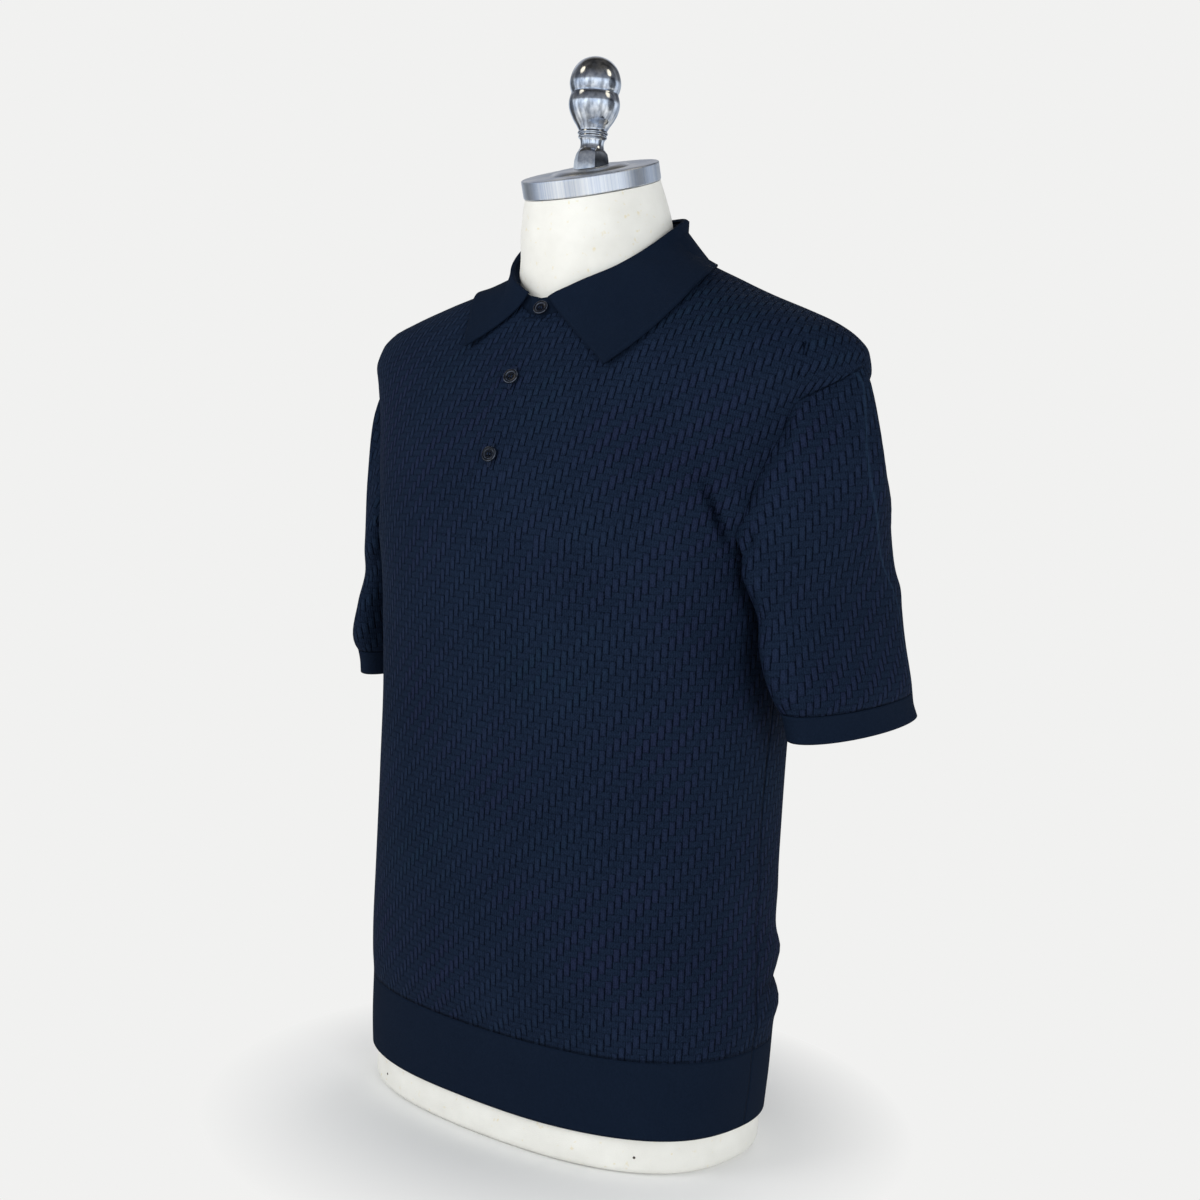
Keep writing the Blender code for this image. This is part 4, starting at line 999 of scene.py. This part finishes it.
def button(index, height):
    """Outline swung round the axis; within the middle, each hole lowers the top by depth * exp(-(gap / radius)^6)."""
    seat_place = np.array(0.0), np.array(float(height))
    normal = torso_normal(*seat_place)
    seat = torso(*seat_place) + normal * (PLACKET_LIFT + KNIT_THICK + SEAM if index > 1 else TOP_BUTTON_RISE)
    turn = np.array(axes_of(unit(normal + (BUTTON_TILT, 0, 0))))[[1, 2, 0]]
    inner = np.column_stack([np.full(36, BUTTON_TOP), np.linspace(0.49 * BUTTON_RADIUS, 0, 36)])
    grid = swung(np.concatenate([rounded(BUTTON_OUTLINE * np.array([1, BUTTON_RADIUS]), 4), inner]),
                 (0, 0, 0), (0, 0, 1), 96)
    for angle in angles(4) + math.pi / 4:
        gap = np.linalg.norm(grid[..., :2] - HOLE_SPREAD * np.array([math.cos(angle), math.sin(angle)]), axis=-1)
        hole = (grid[..., 2] > TOP_FROM) & (gap < HOLE_REACH)
        grid[..., 2] -= np.where(hole, HOLE_DEPTH * np.exp(-(gap / HOLE_RADIUS) ** 6), 0)
    wide = np.linalg.norm(grid[..., :2], axis=-1) / BUTTON_RADIUS
    # Where the painted glint goes: a thin ring on the rim's top and a softer one at its inner edge.
    rim = np.maximum(1 - np.abs(wide - RIM_RING) * 22, 0.8 - np.abs(wide - INNER_RING) * 14).clip(0, 1)
    rim *= grid[..., 2] > TOP_FROM
    solid(f"button_{index}_resin", grid @ turn + seat, RESIN, "button", f"button_{index}", 60, {"rim": rim})
    strands, s = [], np.linspace(-1, 1, 15)
    for k, (y, shift) in enumerate((y, shift) for y in (-1, 1) for shift in (-THREAD_SHIFT, THREAD_SHIFT)):
        aside = 0 * s + y * HOLE_SPREAD * math.sqrt(0.5) + shift
        path = np.column_stack([s * HOLE_SPREAD * 0.72, aside, THREAD_ARCH - THREAD_DIP * s ** 6])
        bar = tube(path @ turn + seat, THREAD_RADIUS, 6)
        strands.append(surface(f"thread_{index}_{k}", bar, True, bar.mean(axis=1, keepdims=True)))
    dress(joined(f"button_{index}_thread", strands), THREAD)


BAND_NORMAL = torso_normal(np.array(0.0), np.array(550.0))
for index, height in enumerate(BUTTON_HEIGHTS, start=1):
    button(index, height)

# %% [markdown]
# The second and third buttonholes stand upright, and their stitched ends look out above and
# below the buttons. The stitching is a rippled cord bent into a long loop on the band.

# %% Buttonholes
HOLE_HALF_LENGTH, HOLE_HALF_WIDTH, HOLE_SHIFT, HOLE_DROP, STITCHES = 8, 0.95, 1.2, 0.6, 70


def buttonhole(index, height):
    """A stadium: two straight sides joined by half circles, laid on the band, with 70 stitches round it."""
    t = angles(420)
    x = HOLE_HALF_WIDTH * np.sign(np.cos(t)) * np.abs(np.cos(t)) ** 0.5 + HOLE_SHIFT
    z = height - HOLE_DROP + HOLE_HALF_LENGTH * np.sign(np.sin(t)) * np.abs(np.sin(t)) ** 0.9
    path = on_body(np.arcsin(x / TORSO.at("half_width", z)), z, PLACKET_LIFT + KNIT_THICK + 0.25)
    grid = tube(path, 0.62, 8, True, 0.18, STITCHES)
    grid = np.concatenate([grid, grid[:1]])
    dress(merged(surface(f"buttonhole_{index}", grid, True, grid.mean(axis=1, keepdims=True))), THREAD)


buttonhole(2, BUTTON_HEIGHTS[1])
buttonhole(3, BUTTON_HEIGHTS[2])

# %% [markdown]
# The form under the shirt has the body's own sections, set in by the cloth and a small gap.
# Its neck leaves the shoulders, narrows and leans forward to the cap.

# %% Form
FORM_CLEAR = Table("height clear", (0, 3), (540, 3), (600, 3.6), (684, 3))
FORM_FOOT_INSET, FORM_FOOT_TOP = 2.6, 16
FORM_CORNER = ((0, 6), (.8, 3.2), (2.6, 1.2), (6, .2), (FORM_FOOT_TOP, 0))
FORM_ROOT_HALF_WIDTH, FORM_ROOT_CENTRE, FORM_ROOT_DEPTH = 67, -5, 60
NECK_RINGS = Table("height radius centre slope", (678, 60.5, -9.5, .24), (700, 57.5, -15.5, .3))
CAP_RADIUS, CAP_HEIGHT, CAP_TILT, CAP_OVERHANG = 53.5, 14, math.radians(19), 0.6
CAP_TOP_CENTRE, CAP_BOSS_RADIUS, CAP_BOSS_HEIGHT = np.array([0, -26.6, 738.7]), 31, 2.4
CAP_AXIS = np.array([0, -math.sin(CAP_TILT), math.cos(CAP_TILT)])


def form_surface(turn, height):
    """The body's surface moved in along its normal by the cloth and the gap."""
    inset = KNIT_THICK + FORM_CLEAR.at("clear", height)
    return torso(turn, height) - torso_normal(turn, height) * inset[..., None]


def root_place(points):
    """A point's place in the neck's oval, as shares of its half width and depth."""
    return points[:, 0] / FORM_ROOT_HALF_WIDTH, (FORM_ROOT_CENTRE - points[:, 1]) / FORM_ROOT_DEPTH


def form_rings(columns=144):
    """Rings from the middle of the base out, up the body, in to the neck and over its top."""
    turn = angles(columns)
    rings = []
    for height, step in FORM_CORNER:
        rings.append(torso(turn, 0 * turn + FORM_FOOT_TOP, FORM_FOOT_INSET + step))
        rings[-1][:, 2] = height
    rings[:0] = [rings[0] * (share, share, 1) for share in (0, 0.5)]
    rings += [form_surface(turn, 0 * turn + height) for height in np.linspace(40, ARMPIT, 40)]
    root = halved(0 * turn + NECK_LOWEST, NECK_HIGHEST,
                  lambda z: np.hypot(*root_place(form_surface(turn, z))) > 1)
    rings += [form_surface(turn, between(ARMPIT, root, t ** 0.8)) for t in np.linspace(0, 1, 49)[1:]]
    stations = [rings.pop()]
    plan = np.arctan2(*root_place(stations[0]))
    for ring in NECK_RINGS:
        x, y = ring["radius"] * np.sin(plan), ring["centre"] - ring["radius"] * np.cos(plan)
        stations.append(np.column_stack([x, y, ring["height"] + ring["slope"] * (y - ring["centre"])]))
    base = CAP_TOP_CENTRE - CAP_AXIS * (CAP_HEIGHT + SEAM)
    lean = np.outer(np.cos(plan), (-CAP_AXIS[2], CAP_AXIS[1]))
    rim = (CAP_RADIUS - CAP_OVERHANG) * np.column_stack([np.sin(plan), lean])
    rings += list(through_stations(np.array([*stations, base + rim]), (8, 8, 12)))
    return np.array([*rings, base + rim * 0.5, base + rim * 0])


def form_finish():
    """Cream cover: a fine weave, soft mottling and a few yellow specks."""
    finish = Finish("form_cover", (.8, .77, .69), 0.55, specular=0.3)
    place = finish.place()
    cloudy, grain = finish.noise(place, 48, 5), finish.noise(place, 1500)
    specks = ((finish.noise(place, 210) - 0.66) * 9).clipped()
    tone = finish.mixed(cloudy, (.7, .685, .63), (.86, .85, .8))
    finish.feed("Base Color", finish.mixed(specks * 0.5, tone, (.7, .58, .28)))
    finish.feed("Roughness", 0.5 + grain * 0.15)
    finish.bumped(grain * 0.7 + cloudy * 0.3, 0.00025)
    return finish.material


solid("form_body_cover", form_rings(), form_finish(), "form_cover", "form_body", 50)

# %% [markdown]
# A few pins hold the cover at its lower edge. Each is a small round head sunk in the cover.

# %% Pins in the foot
PINS = ((-38, 13), (46, 13.5), (135, 13), (-140, 13.5))
PIN_OUTLINE = rounded(((-.6, 0), (-.6, 1), (.1, 1), (.45, .6), (.5, 0)), 4)


def pin(name, turn, height):
    """A low dome 2 mm across on the foot."""
    place = torso(np.array(turn), np.array(float(FORM_FOOT_TOP)), FORM_FOOT_INSET + 0.05)
    place[2] = height
    grid = swung(PIN_OUTLINE, place, (math.sin(turn), -math.cos(turn), 0), 16)
    return surface(name, grid, True, grid.reshape(-1, 3).mean(axis=0))


def pin_finish():
    """Dull dark steel."""
    finish = Finish("pin_steel", (.1, .085, .07), 0.4, 0.8)
    finish.feed("Roughness", 0.3 + finish.noise(finish.place(), 800) * 0.3)
    return finish.material


heads = [pin(f"pin_{k}", math.radians(turn), height) for k, (turn, height) in enumerate(PINS)]
dress(merged(joined("form_pins", heads)), pin_finish())

# %% [markdown]
# The neck cap is a thick turned disc of brushed aluminium. Brushing is drawn as fine noise
# that is stretched round the axis: it depends on the distance from the axis and on the
# height along it, and hardly on the angle. Broad cloudy bands in its colour are painted reflections.

# %% Neck cap
BRUSH_LINES, BRUSH_DRIFT = 3200, 14
CAP_OUTLINE = [(0, 0), *((height, CAP_RADIUS - inset) for height, inset in (
    (0, 1.2), (.25, .45), (.9, 0), (1.2, 0), (CAP_HEIGHT - 1.4, 0), (CAP_HEIGHT - 1, 0), (CAP_HEIGHT - .3, .4),
    (CAP_HEIGHT, 1.1))), *((CAP_HEIGHT + rise, CAP_BOSS_RADIUS + out) for rise, out in (
        (0, 1), (0, 0), (.7, -.6), (CAP_BOSS_HEIGHT - .3, -3.8), (CAP_BOSS_HEIGHT, -4.8),
        (CAP_BOSS_HEIGHT, -CAP_BOSS_RADIUS)))]


def brushed_finish():
    """Noise read at (radius, height along the axis) * 3200, with only a slow change round the axis."""
    finish = Finish("brushed_aluminium", (.78, .79, .81), 0.34, 1)
    local = finish.node("Mapping", {"vector_type": "TEXTURE"}, {
        "Vector": finish.place(), "Location": CAP_TOP_CENTRE * MM, "Rotation": (CAP_TILT, 0, 0)})
    x, y, z = finish.parts(local)
    radius = (x * x + y * y) ** 0.5
    brush = finish.noise(finish.packed(radius * BRUSH_LINES, z * BRUSH_LINES, (x - y) * BRUSH_DRIFT), 1, 3)
    flat = finish.packed(x, y, 0)
    # Painted reflections: broad cloudy bands swing the metal's colour between a dark blue and a warm white.
    reflection_streaks = ((finish.noise(flat, 42) * 0.7 + finish.noise(flat, 900, 1) * 0.3 - 0.38) * 4.2).clipped()
    shade = finish.mixed(reflection_streaks, (.5, .56, .67), (1, .99, .95))
    finish.feed("Base Color", finish.mixed(brush * 0.45, shade, (.86, .88, .92)))
    finish.feed("Roughness", 0.26 + brush * 0.14 + finish.noise(local, 18) * 0.08)
    finish.bumped(brush, 0.00006)
    return finish.material


cap_grid = swung(CAP_OUTLINE, CAP_TOP_CENTRE - CAP_AXIS * CAP_HEIGHT, CAP_AXIS, 160)
solid("form_cap_metal", cap_grid, brushed_finish(), "brushed_metal", "form_cap", 30)

# %% [markdown]
# The knob is one turned outline in polished metal. The nut below it is a hexagon: its radius
# at each angle is the flat's distance over the cosine, and its edges fall away from a circle.

# %% Knob and nut
KNOB_Y, KNOB_TOP = -25.4, 824.6
KNOB = ((70.5, 9.6), (67.5, 9), (62.5, 9.8), (61, 11.1), (59.5, 10.6), (58, 11.7), (56.5, 11), (54, 12), (48, 15.8),
        (42, 18.6), (36, 19.7), (31, 18.9), (28, 18.1), (25.5, 18.9), (21.5, 19.7), (14.5, 18.7), (8, 15.7),
        (3.5, 11.2), (.9, 5.2), (0, 0))
NUT_RADIUS, NUT_TOP, NUT_INNER, NUT_TURN = 13.8, 753.6, 11.6, math.radians(20)


def chrome_finish():
    """Polished metal: painted reflections as cloudy dark blue-grey patches in its colour, faint waves, and a few dull
    finger marks in its roughness.
    """
    finish = Finish("polished_chrome", (.6, .63, .67), 0.1, 1)
    place = finish.place()
    # Painted reflection: cloudy patches swing the metal's colour between dark blue-grey and pale.
    reflection_patches = ((finish.noise(place, 150, 4) - 0.36) * 3.4).clipped()
    finish.feed("Base Color", finish.mixed(reflection_patches, (.4, .44, .51), (.76, .78, .8)))
    finish.feed("Roughness", 0.07 + (finish.noise(place, 55, 4) - 0.4).clipped() * 0.35)
    finish.bumped(finish.noise(place, 120), 0.0001)
    return finish.material


def nut_grid():
    """Rows: the sloped foot, the flats that lean in a little, the domed shoulder and the middle."""
    step = angles(48)
    radius = NUT_RADIUS * math.cos(math.pi / 6) / np.cos(step % (math.pi / 3) - math.pi / 6)
    circle = np.stack([np.cos(step + NUT_TURN), np.sin(step + NUT_TURN), 0 * step], axis=-1)
    seat = CAP_TOP_CENTRE + CAP_AXIS * (CAP_BOSS_HEIGHT + SEAM)
    edge = NUT_TOP - np.maximum(radius - NUT_INNER, 0) * 0.62
    rows = []
    for r, z in ((0 * radius, None), (radius * 1.03, None), (radius, edge - 5.5), (radius * 0.93, edge - 1.5),
                 (radius * 0.84, edge + 0.2), (9.8, NUT_TOP + 0.7), (8.2, NUT_TOP + 1.6), (0, NUT_TOP + 1.6)):
        ring = np.array([0, KNOB_Y, 0]) + circle * np.broadcast_to(r, 48)[:, None]
        ring[:, 2] = seat[2] + (ring[:, 1] - seat[1]) * math.tan(CAP_TILT) if z is None else z
        rows.append(ring)
    return np.array(rows)


CHROME = chrome_finish()
knob = (KNOB_TOP, 0) - np.concatenate([[(70.5, 0)], rounded(KNOB, 5)]) * (1, -1)
knob[:, 1] = np.maximum(knob[:, 1], 0)
solid("form_knob_metal", swung(knob, (0, KNOB_Y, 0), (0, 0, 1), 112), CHROME, "bright_metal", "form_knob", 40)
solid("form_nut_metal", nut_grid(), CHROME, "bright_metal", "form_nut", 20)

# %% [markdown]
# The object stands on a plain pale floor that fades into the same pale background, so that
# no horizon shows. Large soft lights stand at the left front, at the right, above and behind,
# and the world fills in. Only the metal sees how the world darkens away from the backdrop.

# %% Floor, lights and world
PALE, SKY = (.88, .88, .872), (.93, .96, 1)
ROOM_BANDS = (
    (.02, (.5, .53, .58)), (.22, (.95, .98, 1.02)), (.31, (1.3, 1.33, 1.36)), (.42, (1.15, 1.24, 1.36)),
    (.5, (1.25, 1.4, 1.62)), (.6, (1.15, 1.28, 1.46)), (.67, (.34, .36, .4)), (.78, (.26, .27, .3)),
    (.9, (.1, .095, .09)))
LIT_BANDS = ((.01, .38), (.3, .63), (.5, .8), (.66, .62), (.85, .31), (.99, .23))
ROOM_FRONT, ROOM_LAMPS = (.609, -.793, 0), ((-.485, -.568, .665), (.755, .265, .6))
ROOM_PILLARS, ROOM_CEILING, LAMP_COLOUR = ((.87, .49, .05), (-.99, .02, -.05)), (-.61, .57, .55), (2.2, 1.95, 1.5)
FLOOR_HEIGHT, FLOOR_RADII = -0.4, (0, 400, 800, 1200, 1800, 4000)


def floor():
    """A disc 8 m across: matt near the middle and plain background further out."""
    grid = np.array([np.column_stack([np.cos(angles(64)) * radius, np.sin(angles(64)) * radius,
                                      np.full(64, FLOOR_HEIGHT)]) for radius in FLOOR_RADII])
    made = merged(surface("floor", grid, True, (0, 0, -1e6)))
    made.visible_glossy = False
    finish = Finish("floor", (.86, .86, .85), 0.9)
    x, y, _ = finish.parts(finish.place())
    far = (((x * x + y * y) ** 0.5 - 0.13) * 6.5).clipped()
    glow = finish.node("Emission", values={"Color": PALE, "Strength": 1})
    matt = Wire(finish.tree, finish.shader.outputs[0])
    join(finish.tree.nodes["Material Output"].inputs["Surface"],
         finish.node("MixShader", values={0: far, 1: matt, 2: glow}))
    made.data.materials.append(finish.material)


def soft_light(name, place, aim_height, size, power, colour=(1, 1, 1)):
    """A square area light at a place in metres, facing the object's middle line."""
    data = bpy.data.lights.new(name, "AREA")
    data.shape, data.size, data.energy, data.color = "SQUARE", size, power, colour
    made = placed(name, data)
    made.location = place
    made.rotation_euler = (Vector((0, 0, aim_height)) - Vector(place)).to_track_quat("-Z", "Y").to_euler()
    made.visible_glossy = False


def room_colour(nodes):
    """What polished metal sees: a dim warm ceiling, bright windows round the level and a pale floor, by direction."""
    x, y, z = nodes.parts(nodes.place("Generated"))

    def spot(way, edge, sharpness):
        """((x, y, z) . way - edge) * sharpness, held between 0 and 1."""
        return ((x * way[0] + y * way[1] + z * way[2] - edge) * sharpness).clipped()

    windows = ((nodes.noise(nodes.packed(x, y, z * 0.25), 3.4, 4) - 0.42) * 6).clipped()
    pillars = sum(spot(way, 0.9, 18) for way in ROOM_PILLARS)
    ceiling = spot(ROOM_CEILING, 0.82, 8) * ((z - 0.3) * 6).clipped() * 1.9
    light = (windows * 0.5 + 0.5) * (spot(ROOM_FRONT, -0.85 / 0.9, 0.9) * 0.5 + 0.5) * (1 - pillars * 0.78) + ceiling
    room = nodes.mixed(1, nodes.ramp(z * 0.5 + 0.5, ROOM_BANDS), nodes.packed(light, light, light), "MULTIPLY")
    return nodes.mixed(sum(spot(way, 0.984, 110) for way in ROOM_LAMPS).clipped(), room, LAMP_COLOUR)


def studio_world():
    """Pale to the camera; to the lights a sky that is bright at the level and dimmer overhead and below."""
    world = bpy.context.scene.world = bpy.data.worlds.new("studio")
    world.use_nodes = True
    nodes, ready = Nodes(world.node_tree), world.node_tree.nodes
    join(ready["Background"].inputs["Color"], PALE)
    _, _, z = nodes.parts(nodes.place("Generated"))
    power = nodes.ramp(z * 0.5 + 0.5, [(place, (shade,) * 3) for place, shade in LIT_BANDS])
    lit = nodes.node("Background", values={"Color": SKY, "Strength": power})
    room = nodes.node("Background", values={"Color": room_colour(nodes)})
    seen = Wire(world.node_tree, ready["Background"].outputs[0])
    shine = nodes.node("MixShader", values={0: nodes.node("LightPath", out="Is Glossy Ray"), 1: lit, 2: room})
    whole = nodes.node("MixShader", values={0: nodes.node("LightPath", out="Is Camera Ray"), 1: shine, 2: seen})
    join(ready["World Output"].inputs["Surface"], whole)


floor()
studio_world()
soft_light("key", (-1.3, -2.1, 1.5), 0.45, 1.3, 36, (0.98, 0.99, 1))
soft_light("side", (2.3, -1.3, 0.9), 0.4, 1, 30.5, (0.95, 0.98, 1))
soft_light("top", (0.1, -0.2, 2.6), 0.5, 1.4, 3.2)
soft_light("behind", (-0.6, 2.2, 1.5), 0.5, 1.2, 14)
bpy.context.scene.view_settings.view_transform = "Standard"

# %% Sizes and finish
bpy.context.view_layer.update()
print("cuts (width, length, area):", CUTS)
